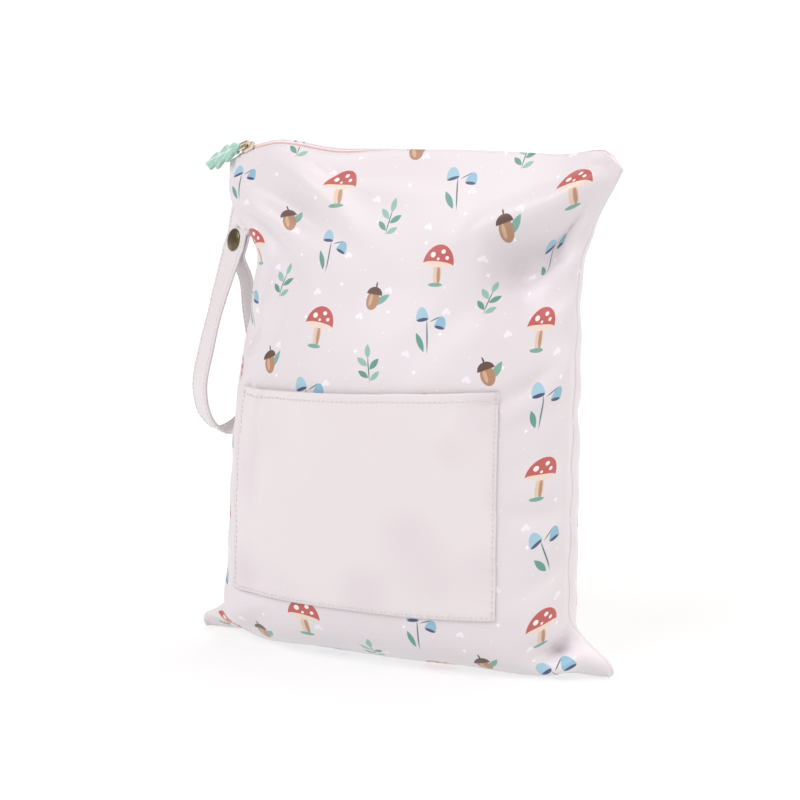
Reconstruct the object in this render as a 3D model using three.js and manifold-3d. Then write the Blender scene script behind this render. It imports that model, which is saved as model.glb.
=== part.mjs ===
// A waterproof bag: two panels of coated cloth sewn together at the sides and the bottom, with a
// zip along the top, a patch pocket on the front and a wrist strap in the left side seam.
// Millimetres, X to the right, Y to the back, Z up. The stuffed bag stands on the plane z = 0.

import * as THREE from 'three';
import { mergeVertices } from 'three/addons/utils/BufferGeometryUtils.js';
import Module from 'manifold-3d';

const wasm = await Module();
wasm.setup();

// Driving sizes of the cut cloth and of its walls
const PANEL_WIDTH = 300;
const PANEL_HEIGHT = 400;
const WALL = 1.2;
const SEAM_GAP = 0.3;
const FRONT = -1;
const BACK = 1;

// The facets of a panel, across and up
const PANEL_COLUMNS = 28;
const PANEL_ROWS = 34;

// The side seams, from the bottom corner up to the zip: share of the panel's height, then places
const SIDE_SEAMS = table(
  ['share', 'leftX', 'leftY', 'leftZ', 'rightX', 'rightY', 'rightZ'],
  [0.000, -142.0, -8, 1.5, 147.5, -4, 1.8],
  [0.012, -145.0, -7.5, 4.5, 151.0, -4, 4.0],
  [0.030, -144.0, -6.5, 9.5, 149.0, -4, 8.5],
  [0.055, -136.5, -4, 13.5, 143.0, -3.5, 14.5],
  [0.090, -126.5, -2, 24, 130.5, -3, 24.5],
  [0.125, -123.0, -0.5, 34, 121.5, -3, 35.5],
  [0.170, -121.5, 1, 47, 119.5, -3, 47],
  [0.300, -119.0, 2, 94, 120.0, -2, 94],
  [0.450, -116.0, 3, 147, 121.0, -2, 149],
  [0.600, -110.5, 4, 203, 122.5, -2, 206],
  [0.720, -105.0, 5, 241, 123.5, -2, 250],
  [0.780, -104.5, 6, 256, 126.0, -1, 267],
  [0.840, -115.0, 7, 272, 132.0, 0, 284],
  [0.890, -125.0, 7, 284, 139.0, 0, 297],
  [0.940, -129.0, 7, 297, 146.0, 0, 309],
  [1.000, -127.5, 5, 313, 151.0, 0, 319],
);

// The middle line of each panel, from the bottom seam under the bag up to the zip
const FRONT_MIDDLE = table(
  ['share', 'x', 'y', 'z'],
  [0.000, 4, 6, WALL],
  [0.030, 4, -6, WALL],
  [0.055, 4, -16, WALL],
  [0.120, 4, -38, 9],
  [0.170, 5, -51, 24],
  [0.235, 6, -59, 48],
  [0.350, 6, -62, 94],
  [0.440, 6, -62, 128],
  [0.580, 7, -58, 178],
  [0.710, 8, -48, 226],
  [0.830, 10, -34, 268],
  [0.930, 11, -17, 302],
  [1.000, 12, -2, 325],
);
const BACK_MIDDLE = table(
  ['share', 'x', 'y', 'z'],
  [0.000, 4, 6, WALL],
  [0.030, 4, 17, WALL],
  [0.060, 4, 29, WALL],
  [0.110, 4, 43, 8],
  [0.165, 5, 54, 25],
  [0.240, 6, 60, 54],
  [0.350, 6, 61, 96],
  [0.440, 6, 60, 130],
  [0.580, 7, 55, 182],
  [0.710, 8, 45, 230],
  [0.830, 10, 32, 271],
  [0.930, 11, 17, 304],
  [1.000, 12, 2, 325],
);

// How square a level section is on each side: 2 is an ellipse, more is squarer
const SQUARENESS = table(
  ['share', 'left', 'right', 'back'],
  [0.00, 3.0, 3.0, 3.0],
  [0.10, 3.6, 2.6, 2.5],
  [0.25, 2.5, 2.0, 2.2],
  [0.45, 2.4, 1.85, 2.1],
  [0.80, 2.0, 1.9, 2.0],
  [1.00, 2.0, 2.0, 2.0],
);
const ARC_STEPS = 60;

// A thread line of the cloth stays level up to this share of the half width, then climbs
const LEVEL_SHARE = 0.64;
const CLIMB_POWER = 1.8;

// The zip's middle line: place across, depth, height and how far its face rolls to the front
const ZIP_LINE = table(
  ['across', 'y', 'z', 'roll'],
  [-1.00, 5, 313, 0],
  [-0.93, 3, 318, 38],
  [-0.84, 0, 323, 44],
  [-0.68, -3, 327, 42],
  [-0.38, -4, 323, 40],
  [-0.15, 0, 324.7, 5],
  [0.30, 3, 326.0, -15],
  [0.70, 2, 326.0, -10],
  [0.90, 0, 330, 0],
  [1.00, 0, 319, 0],
);
const ZIP_REACH_START = 0.78;
const ZIP_HALF_WIDTH = 2.3;
const ZIP_END = 0.94;
const TAPE_HALF_WIDTH = 1.9;
const TAPE_TOP = 0;
const TAPE_BOTTOM = -0.6;
const COIL_HALF_WIDTH = 1.0;
const COIL_TOP = 0.6;
const TANGENT_STEP = 0.01;

// Gathers along the side seams
const PUCKER_DEPTH = 1.6;
const PUCKER_PITCH = 36;
const PUCKER_REACH = 26;
const PUCKER_FADE = 40;
const STRAP_ROOT_SHARE = 0.855;
const STRAP_ROOT_CLEAR = 0.09;

// Main dents (negative) and swells of the cloth, placed on the flat panel from its bottom middle
const FOLDS = table(
  ['side', 'x', 'z', 'length', 'width', 'turn', 'depth'],
  [FRONT, 100, 361, 50, 10, 22, 6.5],
  [FRONT, 112, 339, 42, 13, 16, -4.0],
  [FRONT, 120, 315, 36, 20, 4, -20.0],
  [FRONT, 94, 322, 15, 20, 10, -7.5],
  [FRONT, 118, 290, 42, 18, -14, -7.0],
  [FRONT, 69, 326, 10, 22, 10, 5.0],
  [FRONT, 124, 266, 26, 10, -25, -3.0],
  [FRONT, -66, 373, 42, 10, -35, 5.0],
  [FRONT, -80, 355, 38, 11, -26, -6.5],
  [FRONT, -112, 350, 18, 10, -30, 3.0],
  [FRONT, -100, 326, 34, 10, -38, -5.5],
  [FRONT, -10, 374, 60, 12, -6, 4.0],
  [FRONT, 14, 300, 60, 26, 12, -2.5],
  [FRONT, 130, 48, 24, 9, -35, -5.5],
  [FRONT, 137, 43, 12, 7, 0, -9.0],
  [FRONT, 132, 32, 16, 6, 10, 3.0],
  [FRONT, -104, 44, 36, 11, 40, -4.5],
  [FRONT, -112, 262, 34, 11, 20, -3.0],
  [FRONT, 108, 190, 60, 14, 84, -2.5],
  [BACK, -46, 384, 50, 12, 0, 6.0],
  [BACK, -70, 320, 50, 16, 60, -6.0],
  [BACK, 66, 316, 54, 16, -56, -6.0],
  [BACK, 10, 250, 90, 20, 8, -4.0],
  [BACK, 100, 48, 42, 12, -36, -5.0],
  [BACK, -102, 48, 42, 12, 38, -5.0],
  [BACK, -30, 150, 110, 26, -6, -2.5],
);
const FOLD_EDGE_FADE = 18;

// The patch pocket, placed on the flat front panel, with its mouth a little higher on the right
const POCKET_LEFT = -105;
const POCKET_RIGHT = 91;
const POCKET_BOTTOM = 86;
const POCKET_TOP_LEFT = 226;
const POCKET_TOP_RIGHT = 239;
const POCKET_WALL = 1.0;
const POCKET_GAP = 0.5;
const POCKET_MOUTH_GAP = 2.2;
const POCKET_MOUTH_REACH = 60;
const POCKET_MOUTH_POWER = 4;
const HEM_DEPTH = 9;
const HEM_STEP = 2;
const HEM_WALL = 0.7;
const POCKET_COLUMNS = 18;
const POCKET_ROWS = 14;

// The wrist strap's middle line, with the direction of its width: from the seam, past the
// press fastener, down and round the loop
const STRAP_WIDTH = 25;
const STRAP_WALL = 2.0;
const STRAP_LAYER_GAP = 0.4;
const STRAP_STEPS = 54;
const STRAP_ROWS = table(
  ['x', 'y', 'z', 'widthX', 'widthY', 'widthZ'],
  [-119.6, 7.2, 274.2, -0.60, 0.00, 0.80],
  [-123.0, 8.6, 271.6, -0.74, 0.42, 0.50],
  [-124.6, 9.6, 268.2, -0.86, 0.51, 0.00],
  [-126.5, 9.0, 260.8, -0.86, 0.51, 0.00],
  [-128.8, 8.2, 252.5, -0.86, 0.51, 0.00],
  [-137.4, 4.2, 221.0, -0.78, 0.62, 0.00],
  [-145.6, 1.6, 188.0, -0.78, 0.62, 0.00],
  [-150.6, 1.0, 162.0, -0.78, 0.62, 0.00],
  [-148.0, 4.6, 142.0, -0.78, 0.62, 0.00],
  [-141.0, 13.4, 132.0, -0.78, 0.62, 0.00],
  [-131.6, 24.0, 138.0, -0.78, 0.62, 0.00],
  [-124.8, 30.0, 157.0, -0.78, 0.62, 0.00],
  [-124.2, 30.0, 182.0, -0.78, 0.62, 0.00],
  [-125.8, 26.0, 210.0, -0.78, 0.62, 0.00],
  [-125.2, 18.6, 236.0, -0.78, 0.62, 0.00],
);
const SNAP_ROW = 3;
const SNAP_END_ROWS = [4, 3, 2.2];

// The press fastener, with the shares of radius and height along its domed cap and its back
const SNAP_CAP_RADIUS = 7.5;
const SNAP_CAP_HEIGHT = 1.9;
const SNAP_CAP = table(
  ['radius', 'height'],
  [0.00, 1.00],
  [0.45, 0.93],
  [0.80, 0.68],
  [0.97, 0.30],
  [1.00, 0.00],
);
const SNAP_BACK_RADIUS = 6;
const SNAP_BACK_HEIGHT = 1.4;
const SNAP_BACK = table(
  ['radius', 'height'],
  [1.00, 0.00],
  [1.00, 0.60],
  [0.85, 1.00],
  [0.00, 1.00],
);
const SNAP_POST_RADIUS = 2;
const SNAP_HOLE_LENGTH = 12;
const SNAP_SIDES = 20;

// The gap around a hard piece that is held by another one
const FIT_GAP = 0.3;

// The zip's slider, its bridge and the pull
const SLIDER_AT = -0.87;
const SLIDER_LENGTH = 9;
const SLIDER_NOSE_WIDTH = 5.2;
const SLIDER_WIDTH = 7.4;
const SLIDER_TAIL_WIDTH = 5.3;
const SLIDER_SHOULDER = 1.8;
const SLIDER_FLOOR = 0.9;
const SLIDER_HEIGHT = 2.6;
const BRIDGE_SPAN = 7.4;
const BRIDGE_RISE = 3.5;
const BRIDGE_WALL = 1.2;
const BRIDGE_WIDTH = 2.2;
const BRIDGE_CORNER = 0.7;
const BRIDGE_SINK = 0.4;
const TAB_WIDTH = 5.6;
const TAB_WALL = 1.2;
const TAB_SLOT_LENGTH = 4.2;
const TAB_SLOT_WIDTH = 3.0;
const TAB_LENGTH = 13;
const TAB_INSIDE = 5;
const PULL_DROOP = 3;
const LEAF_LENGTH = 33;
const LEAF_HALF_WIDTH = 11;
const LEAF_WIDEST_POWER = 0.9;
const LEAF_FULLNESS = 0.75;
const LEAF_WALL = 4;
const LEAF_BEVEL = 0.9;
const LEAF_BEVEL_STEPS = 2;
const LEAF_LOBES = 3.5;
const LEAF_LOBE_START = 0.25;
const LEAF_LOBE_DEPTH = 0.24;
const LEAF_NECK = 4.6;
const LEAF_NECK_REACH = 0.22;
const LEAF_STEPS = 26;
const SOCKET_MOUTH = 1;

// Corners of a solid closer than this are one corner
const SAME_CORNER = 0.0001;

// A table's rows as objects with named columns
function table(columns, ...rows) {
  return rows.map((row) => Object.fromEntries(columns.map((name, i) => [name, row[i]])));
}

// Smooth reading between a table's rows, with no swing past them
function read(rows, key, column, at) {
  const last = rows.length - 1;
  const place = Math.min(Math.max(at, rows[0][key]), rows[last][key]);
  let i = 0;
  while (i < last - 1 && rows[i + 1][key] < place) i += 1;
  const width = (k) => rows[k + 1][key] - rows[k][key];
  const rise = (k) => (rows[k + 1][column] - rows[k][column]) / width(k);
  const slope = (k) => {
    if (k === 0) return rise(0);
    if (k === last) return rise(last - 1);
    const before = rise(k - 1);
    const after = rise(k);
    return before * after <= 0 ? 0 : (2 * before * after) / (before + after);
  };
  const t = (place - rows[i][key]) / width(i);
  const start = rows[i][column];
  const end = rows[i + 1][column];
  const startPull = slope(i) * width(i);
  const endPull = slope(i + 1) * width(i);
  const change = end - start;
  return start + startPull * t
    + (3 * change - 2 * startPull - endPull) * t ** 2
    + (startPull + endPull - 2 * change) * t ** 3;
}

function ease(from, to, value) {
  return THREE.MathUtils.smoothstep(value, from, to);
}

// A quarter of a rounded section, at an even share of its length from the middle to the seam
function quarterArc(width, depth, power, share) {
  const points = [];
  let length = 0;
  for (let i = 0; i <= ARC_STEPS; i += 1) {
    const angle = (Math.PI / 2) * (i / ARC_STEPS);
    const run = Math.sin(angle) ** (2 / power);
    const rise = Math.cos(angle) ** (2 / power);
    if (i > 0) {
      const before = points[i - 1];
      length += Math.hypot((run - before.run) * width, (rise - before.rise) * depth);
    }
    points.push({ run, rise, length });
  }
  const wanted = share * length;
  let i = 1;
  while (i < ARC_STEPS && points[i].length < wanted) i += 1;
  const before = points[i - 1];
  const after = points[i];
  const t = (wanted - before.length) / (after.length - before.length);
  return {
    run: THREE.MathUtils.lerp(before.run, after.run, t),
    rise: i === ARC_STEPS && share === 1 ? 0 : THREE.MathUtils.lerp(before.rise, after.rise, t),
  };
}

// The direction across the zip, from the front edge to the back edge
function zipAcross(across) {
  const roll = THREE.MathUtils.degToRad(read(ZIP_LINE, 'across', 'roll', across));
  return new THREE.Vector3(0, Math.cos(roll), Math.sin(roll));
}

// The stuffed form of a panel before its folds: across runs from -1 to 1, share from 0 to 1
function panelForm(side, across, share) {
  const hand = across < 0 ? 'left' : 'right';
  const middleLine = side === FRONT ? FRONT_MIDDLE : BACK_MIDDLE;
  const [mx, my, mz] = ['x', 'y', 'z'].map((axis) => read(middleLine, 'share', axis, share));
  const [sx, sy, sz] = ['X', 'Y', 'Z'].map((axis) => read(SIDE_SEAMS, 'share', hand + axis, share));
  const power = read(SQUARENESS, 'share', side === FRONT ? hand : 'back', share);
  const out = Math.abs(across);
  const { run, rise } = quarterArc(Math.abs(sx - mx), Math.abs(my - sy), power, out);
  const climb = (Math.max(0, out - LEVEL_SHARE) / (1 - LEVEL_SHARE)) ** CLIMB_POWER;
  return new THREE.Vector3(mx + (sx - mx) * run, sy + (my - sy) * rise, mz + (sz - mz) * climb);
}

// The inner face of a panel, drawn to the zip at its top and to the seams at its other edges
function panelInner(side, across, share) {
  const point = panelForm(side, across, share);
  point.y += side * SEAM_GAP / 2;
  const reach = ease(ZIP_REACH_START, 1, share);
  if (reach > 0) {
    const top = panelForm(side, across, 1);
    const half = THREE.MathUtils.lerp(ZIP_HALF_WIDTH, SEAM_GAP / 2, ease(ZIP_END, 1, Math.abs(across)));
    const edge = zipPoint(across).addScaledVector(zipAcross(across), side * half);
    point.y += reach * (edge.y - top.y - side * SEAM_GAP / 2);
    point.z += reach * (edge.z - top.z);
  }
  point.y += pucker(across, share);
  return point;
}

function zipPoint(across) {
  const x = (panelForm(FRONT, across, 1).x + panelForm(BACK, across, 1).x) / 2;
  return new THREE.Vector3(
    x,
    read(ZIP_LINE, 'across', 'y', across),
    read(ZIP_LINE, 'across', 'z', across),
  );
}

function pucker(across, share) {
  const fromSeam = (1 - Math.abs(across)) * PANEL_WIDTH / 2;
  const up = share * PANEL_HEIGHT;
  const low = ease(PUCKER_FADE, 2 * PUCKER_FADE, up);
  const high = ease(PUCKER_FADE, 2 * PUCKER_FADE, PANEL_HEIGHT - up);
  const strap = across < 0 ? ease(0, STRAP_ROOT_CLEAR, Math.abs(share - STRAP_ROOT_SHARE)) : 1;
  const wave = Math.sin((2 * Math.PI * up) / PUCKER_PITCH + Math.sign(across));
  return PUCKER_DEPTH * low * high * strap * wave * Math.exp(-fromSeam / PUCKER_REACH);
}

function foldDepth(side, across, share) {
  const x = across * PANEL_WIDTH / 2;
  const z = share * PANEL_HEIGHT;
  const fromEdge = Math.min(PANEL_WIDTH / 2 - Math.abs(x), PANEL_HEIGHT - z, z);
  let depth = 0;
  for (const fold of FOLDS) {
    if (fold.side !== side) continue;
    const turn = THREE.MathUtils.degToRad(fold.turn);
    const along = (x - fold.x) * Math.cos(turn) + (z - fold.z) * Math.sin(turn);
    const beside = (z - fold.z) * Math.cos(turn) - (x - fold.x) * Math.sin(turn);
    depth += fold.depth * Math.exp(-((along / fold.length) ** 2) - (beside / fold.width) ** 2);
  }
  return depth * ease(0, FOLD_EDGE_FADE, fromEdge);
}

// The outward direction of a grid's surface at one of its points
function gridNormal(grid, row, column) {
  const up = grid[Math.min(row + 1, grid.length - 1)][column].clone();
  up.sub(grid[Math.max(row - 1, 0)][column]);
  const right = grid[row][Math.min(column + 1, grid[0].length - 1)].clone();
  right.sub(grid[row][Math.max(column - 1, 0)]);
  return right.cross(up).normalize();
}

// The direction in which a panel's wall is thick: face to face at the seams and the zip,
// flat on the floor along the bottom seam, and square to the surface everywhere else
function wallDirection(side, grid, row, column, across, share) {
  if (Math.abs(across) === 1) return new THREE.Vector3(0, side, 0);
  if (share === 1) return zipAcross(across).multiplyScalar(side);
  if (share === 0) {
    const corner = ease(LEVEL_SHARE, 1, Math.abs(across));
    return new THREE.Vector3(0, side * corner, corner - 1).normalize();
  }
  return gridNormal(grid, row, column).multiplyScalar(side === FRONT ? 1 : -1);
}

function makeGrid(rows, columns, place) {
  const grid = [];
  for (let row = 0; row <= rows; row += 1) {
    const line = [];
    for (let column = 0; column <= columns; column += 1) {
      line.push(place(row / rows, (2 * column) / columns - 1, row, column));
    }
    grid.push(line);
  }
  return grid;
}

// A closed wall between two grids of the same size
function wallBetween(outer, inner, side) {
  const rows = outer.length;
  const columns = outer[0].length;
  const positions = [...outer.flat(), ...inner.flat()].flatMap((p) => [p.x, p.y, p.z]);
  const index = [];
  const outerAt = (r, c) => r * columns + c;
  const innerAt = (r, c) => rows * columns + r * columns + c;
  const quad = (a, b, c, d) => {
    if (side === FRONT) index.push(a, b, c, a, c, d);
    else index.push(a, c, b, a, d, c);
  };
  for (let r = 0; r < rows - 1; r += 1) {
    for (let c = 0; c < columns - 1; c += 1) {
      quad(outerAt(r, c), outerAt(r, c + 1), outerAt(r + 1, c + 1), outerAt(r + 1, c));
      quad(innerAt(r, c), innerAt(r + 1, c), innerAt(r + 1, c + 1), innerAt(r, c + 1));
    }
    const end = columns - 1;
    quad(outerAt(r, 0), outerAt(r + 1, 0), innerAt(r + 1, 0), innerAt(r, 0));
    quad(outerAt(r, end), innerAt(r, end), innerAt(r + 1, end), outerAt(r + 1, end));
  }
  for (let c = 0; c < columns - 1; c += 1) {
    const top = rows - 1;
    quad(outerAt(0, c), innerAt(0, c), innerAt(0, c + 1), outerAt(0, c + 1));
    quad(outerAt(top, c), outerAt(top, c + 1), innerAt(top, c + 1), innerAt(top, c));
  }
  const geometry = new THREE.BufferGeometry();
  geometry.setAttribute('position', new THREE.Float32BufferAttribute(positions, 3));
  geometry.setIndex(index);
  geometry.computeVertexNormals();
  return geometry;
}

// A panel's two faces: the inner one with its folds, and the outer one a wall's thickness away
function panelFaces(side) {
  const smooth = makeGrid(PANEL_ROWS, PANEL_COLUMNS, (share, across) => panelInner(side, across, share));
  const inner = makeGrid(PANEL_ROWS, PANEL_COLUMNS, (share, across, row, column) => {
    const point = smooth[row][column].clone();
    const outward = wallDirection(side, smooth, row, column, across, share);
    return point.addScaledVector(outward, foldDepth(side, across, share));
  });
  const outer = makeGrid(PANEL_ROWS, PANEL_COLUMNS, (share, across, row, column) => {
    const outward = wallDirection(side, inner, row, column, across, share);
    return inner[row][column].clone().addScaledVector(outward, WALL);
  });
  return { inner, outer };
}

// A point on a grid's facets, at a place between its rows and columns
function onGrid(grid, across, share) {
  const row = Math.min(Math.floor(share * PANEL_ROWS), PANEL_ROWS - 1);
  const column = Math.min(Math.floor((across + 1) / 2 * PANEL_COLUMNS), PANEL_COLUMNS - 1);
  const up = share * PANEL_ROWS - row;
  const right = (across + 1) / 2 * PANEL_COLUMNS - column;
  const low = grid[row][column].clone().lerp(grid[row][column + 1], right);
  const high = grid[row + 1][column].clone().lerp(grid[row + 1][column + 1], right);
  return low.lerp(high, up);
}

function pocketGeometry(panelOuter) {
  const across = (u) => THREE.MathUtils.lerp(POCKET_LEFT, POCKET_RIGHT, (u + 1) / 2) / (PANEL_WIDTH / 2);
  const top = (u) => THREE.MathUtils.lerp(POCKET_TOP_LEFT, POCKET_TOP_RIGHT, (u + 1) / 2);
  const up = (share, u) => THREE.MathUtils.lerp(POCKET_BOTTOM, top(u), share);
  const seat = makeGrid(POCKET_ROWS, POCKET_COLUMNS, (share, u) => (
    onGrid(panelOuter, across(u), up(share, u) / PANEL_HEIGHT)
  ));
  const lifted = (share, u, row, column, wall) => {
    const fromMouth = top(u) - up(share, u);
    const mouth = (1 - u ** POCKET_MOUTH_POWER) * Math.exp(-fromMouth / POCKET_MOUTH_REACH);
    const hem = wall * HEM_WALL * (1 - ease(HEM_DEPTH, HEM_DEPTH + HEM_STEP, fromMouth));
    const lift = POCKET_GAP + POCKET_MOUTH_GAP * mouth + wall * POCKET_WALL + hem;
    return seat[row][column].clone().addScaledVector(gridNormal(seat, row, column), lift);
  };
  const outer = makeGrid(POCKET_ROWS, POCKET_COLUMNS, (s, u, r, c) => lifted(s, u, r, c, 1));
  const inner = makeGrid(POCKET_ROWS, POCKET_COLUMNS, (s, u, r, c) => lifted(s, u, r, c, 0));
  return wallBetween(outer, inner, FRONT);
}

// A closed bar whose section is carried along a row of frames
function sweep(frames, section) {
  const count = section.length;
  const positions = [];
  const index = [];
  for (const frame of frames) {
    for (const [beside, above] of section) {
      const point = frame.at.clone().addScaledVector(frame.beside, beside);
      point.addScaledVector(frame.above, above);
      positions.push(point.x, point.y, point.z);
    }
  }
  for (let i = 0; i < frames.length - 1; i += 1) {
    for (let k = 0; k < count; k += 1) {
      const a = i * count + k;
      const b = i * count + ((k + 1) % count);
      index.push(a, b, b + count, a, b + count, a + count);
    }
  }
  const lastRing = (frames.length - 1) * count;
  const outline = section.map(([x, y]) => new THREE.Vector2(x, y));
  for (const [a, b, c] of THREE.ShapeUtils.triangulateShape(outline, [])) {
    index.push(c, b, a, lastRing + a, lastRing + b, lastRing + c);
  }
  const geometry = new THREE.BufferGeometry();
  geometry.setAttribute('position', new THREE.Float32BufferAttribute(positions, 3));
  geometry.setIndex(index);
  geometry.computeVertexNormals();
  return geometry;
}

function zipTangent(across) {
  return zipPoint(across + TANGENT_STEP).sub(zipPoint(across - TANGENT_STEP)).normalize();
}

// The frame of the zip at a place across: along the zip, across it and out of its face
function zipFrame(across) {
  const along = zipTangent(across);
  const beside = zipAcross(across);
  beside.addScaledVector(along, -beside.dot(along)).normalize();
  return { at: zipPoint(across), along, beside, above: along.clone().cross(beside) };
}

// The tape's section turns with the panels' top edges, one step for each column of the panels
function zipTapeGeometry() {
  const frames = [];
  for (let column = 0; column <= PANEL_COLUMNS; column += 1) {
    const across = (2 * column) / PANEL_COLUMNS - 1;
    if (Math.abs(across) > ZIP_END) continue;
    frames.push({ ...zipFrame(across), beside: zipAcross(across) });
  }
  return sweep(frames, [
    [-TAPE_HALF_WIDTH, TAPE_BOTTOM],
    [TAPE_HALF_WIDTH, TAPE_BOTTOM],
    [TAPE_HALF_WIDTH, TAPE_TOP],
    [COIL_HALF_WIDTH, TAPE_TOP],
    [COIL_HALF_WIDTH / 2, COIL_TOP],
    [-COIL_HALF_WIDTH / 2, COIL_TOP],
    [-COIL_HALF_WIDTH, TAPE_TOP],
    [-TAPE_HALF_WIDTH, TAPE_TOP],
  ]);
}

// Solids for cuts and joins
function solidOf(geometry) {
  const bare = geometry.clone();
  for (const name of Object.keys(bare.attributes)) {
    if (name !== 'position') bare.deleteAttribute(name);
  }
  const merged = mergeVertices(bare, SAME_CORNER);
  return new wasm.Manifold(new wasm.Mesh({
    numProp: 3,
    vertProperties: new Float32Array(merged.attributes.position.array),
    triVerts: new Uint32Array(merged.index.array),
  }));
}

function geometryOf(solid) {
  const mesh = solid.getMesh();
  const geometry = new THREE.BufferGeometry();
  geometry.setAttribute('position', new THREE.Float32BufferAttribute(mesh.vertProperties, 3));
  geometry.setIndex([...mesh.triVerts]);
  geometry.computeVertexNormals();
  return geometry;
}

function strapRow(row) {
  return {
    at: new THREE.Vector3(row.x, row.y, row.z),
    beside: new THREE.Vector3(row.widthX, row.widthY, row.widthZ).normalize(),
  };
}

// The strap's frame at a place among its rows, which may lie between two of them
function strapFrameAt(rows, place) {
  const curve = new THREE.CatmullRomCurve3(rows.map((row) => row.at), false, 'centripetal');
  const widths = new THREE.CatmullRomCurve3(rows.map((row) => row.beside), false, 'centripetal');
  const t = place / (rows.length - 1);
  const along = curve.getTangent(t);
  const beside = widths.getPoint(t).normalize();
  const above = along.clone().cross(beside).normalize();
  return { at: curve.getPoint(t), along, beside, above };
}

// The strap's rows, with the free end laid behind the first stretch at the press fastener
function strapRows() {
  const loop = STRAP_ROWS.map(strapRow);
  const layer = STRAP_WALL + STRAP_LAYER_GAP;
  const end = SNAP_END_ROWS.map((place) => {
    const frame = strapFrameAt(loop, place);
    return { at: frame.at.addScaledVector(frame.above, layer), beside: frame.beside };
  });
  return [...loop, ...end];
}

function strapGeometry(rows, snapFrame) {
  const frames = [];
  for (let i = 0; i <= STRAP_STEPS; i += 1) {
    frames.push(strapFrameAt(rows, (i / STRAP_STEPS) * (rows.length - 1)));
  }
  const half = STRAP_WIDTH / 2;
  const thick = STRAP_WALL / 2;
  const ribbon = sweep(frames, [[-half, -thick], [half, -thick], [half, thick], [-half, thick]]);
  const hole = new THREE.CylinderGeometry(
    SNAP_POST_RADIUS + FIT_GAP,
    SNAP_POST_RADIUS + FIT_GAP,
    SNAP_HOLE_LENGTH,
    SNAP_SIDES,
  );
  hole.rotateX(Math.PI / 2);
  hole.applyMatrix4(frameMatrix(snapFrame));
  return geometryOf(solidOf(ribbon).subtract(solidOf(hole)));
}

// The place of a piece on a frame, with its width squared to the frame's length
function frameMatrix(frame) {
  const beside = frame.above.clone().cross(frame.along);
  return new THREE.Matrix4().makeBasis(frame.along, beside, frame.above).setPosition(frame.at);
}

// A domed cap in front of both layers of the strap, a post through them and a plain back
function snapGeometry() {
  const front = -STRAP_WALL / 2 - FIT_GAP;
  const behind = STRAP_WALL / 2 + STRAP_LAYER_GAP + STRAP_WALL + FIT_GAP;
  const profile = [
    ...SNAP_CAP.map((row) => [SNAP_CAP_RADIUS * row.radius, front - SNAP_CAP_HEIGHT * row.height]),
    [SNAP_POST_RADIUS, front],
    [SNAP_POST_RADIUS, behind],
    ...SNAP_BACK.map((row) => [SNAP_BACK_RADIUS * row.radius, behind + SNAP_BACK_HEIGHT * row.height]),
  ];
  const geometry = new THREE.LatheGeometry(profile.map(([r, h]) => new THREE.Vector2(r, h)), SNAP_SIDES);
  return geometry.rotateX(Math.PI / 2);
}

// A rectangle with its middle on the X axis, from one end to the other
function rectangle(start, end, width) {
  const half = width / 2;
  return [[start, -half], [end, -half], [end, half], [start, half]].map(([x, y]) => new THREE.Vector2(x, y));
}

function plate(outline, holes, thickness) {
  const shape = new THREE.Shape(outline);
  shape.holes = holes.map((hole) => new THREE.Path(hole));
  const geometry = new THREE.ExtrudeGeometry(shape, { depth: thickness, bevelEnabled: false });
  return geometry.translate(0, 0, -thickness / 2);
}

// The slider: a block that narrows to its tail, with a bridge over it for the tab
function sliderGeometry() {
  const half = SLIDER_LENGTH / 2;
  const top = SLIDER_FLOOR + SLIDER_HEIGHT;
  const foot = top - BRIDGE_SINK;
  const ridge = top + BRIDGE_RISE;
  const outline = [
    [-half, -SLIDER_NOSE_WIDTH / 2],
    [-SLIDER_SHOULDER, -SLIDER_WIDTH / 2],
    [half, -SLIDER_TAIL_WIDTH / 2],
  ];
  const mirrored = outline.map(([x, y]) => [x, -y]).reverse();
  const corners = [...outline, ...mirrored].map(([x, y]) => new THREE.Vector2(x, y));
  const block = plate(corners, [], SLIDER_HEIGHT).translate(0, 0, SLIDER_FLOOR + SLIDER_HEIGHT / 2);
  const span = BRIDGE_SPAN / 2;
  const bridgeOutline = [
    [-span, foot],
    [-span + BRIDGE_WALL, foot],
    [-span + BRIDGE_WALL, ridge - BRIDGE_WALL],
    [span - BRIDGE_WALL, ridge - BRIDGE_WALL],
    [span - BRIDGE_WALL, foot],
    [span, foot],
    [span, ridge - BRIDGE_CORNER],
    [span - BRIDGE_CORNER, ridge],
    [-span + BRIDGE_CORNER, ridge],
    [-span, ridge - BRIDGE_CORNER],
  ].map(([x, z]) => new THREE.Vector2(x, z));
  const bridge = plate(bridgeOutline, [], BRIDGE_WIDTH).rotateX(Math.PI / 2);
  return geometryOf(solidOf(block).add(solidOf(bridge)));
}

// The tab lies along -X from its bar, which turns under the slider's bridge at the origin
function tabGeometry() {
  const bar = TAB_WALL / 2;
  const outline = rectangle(bar, bar - TAB_LENGTH, TAB_WIDTH).reverse();
  const slot = rectangle(-bar, -bar - TAB_SLOT_LENGTH, TAB_SLOT_WIDTH);
  return plate(outline, [slot], TAB_WALL);
}

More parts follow.
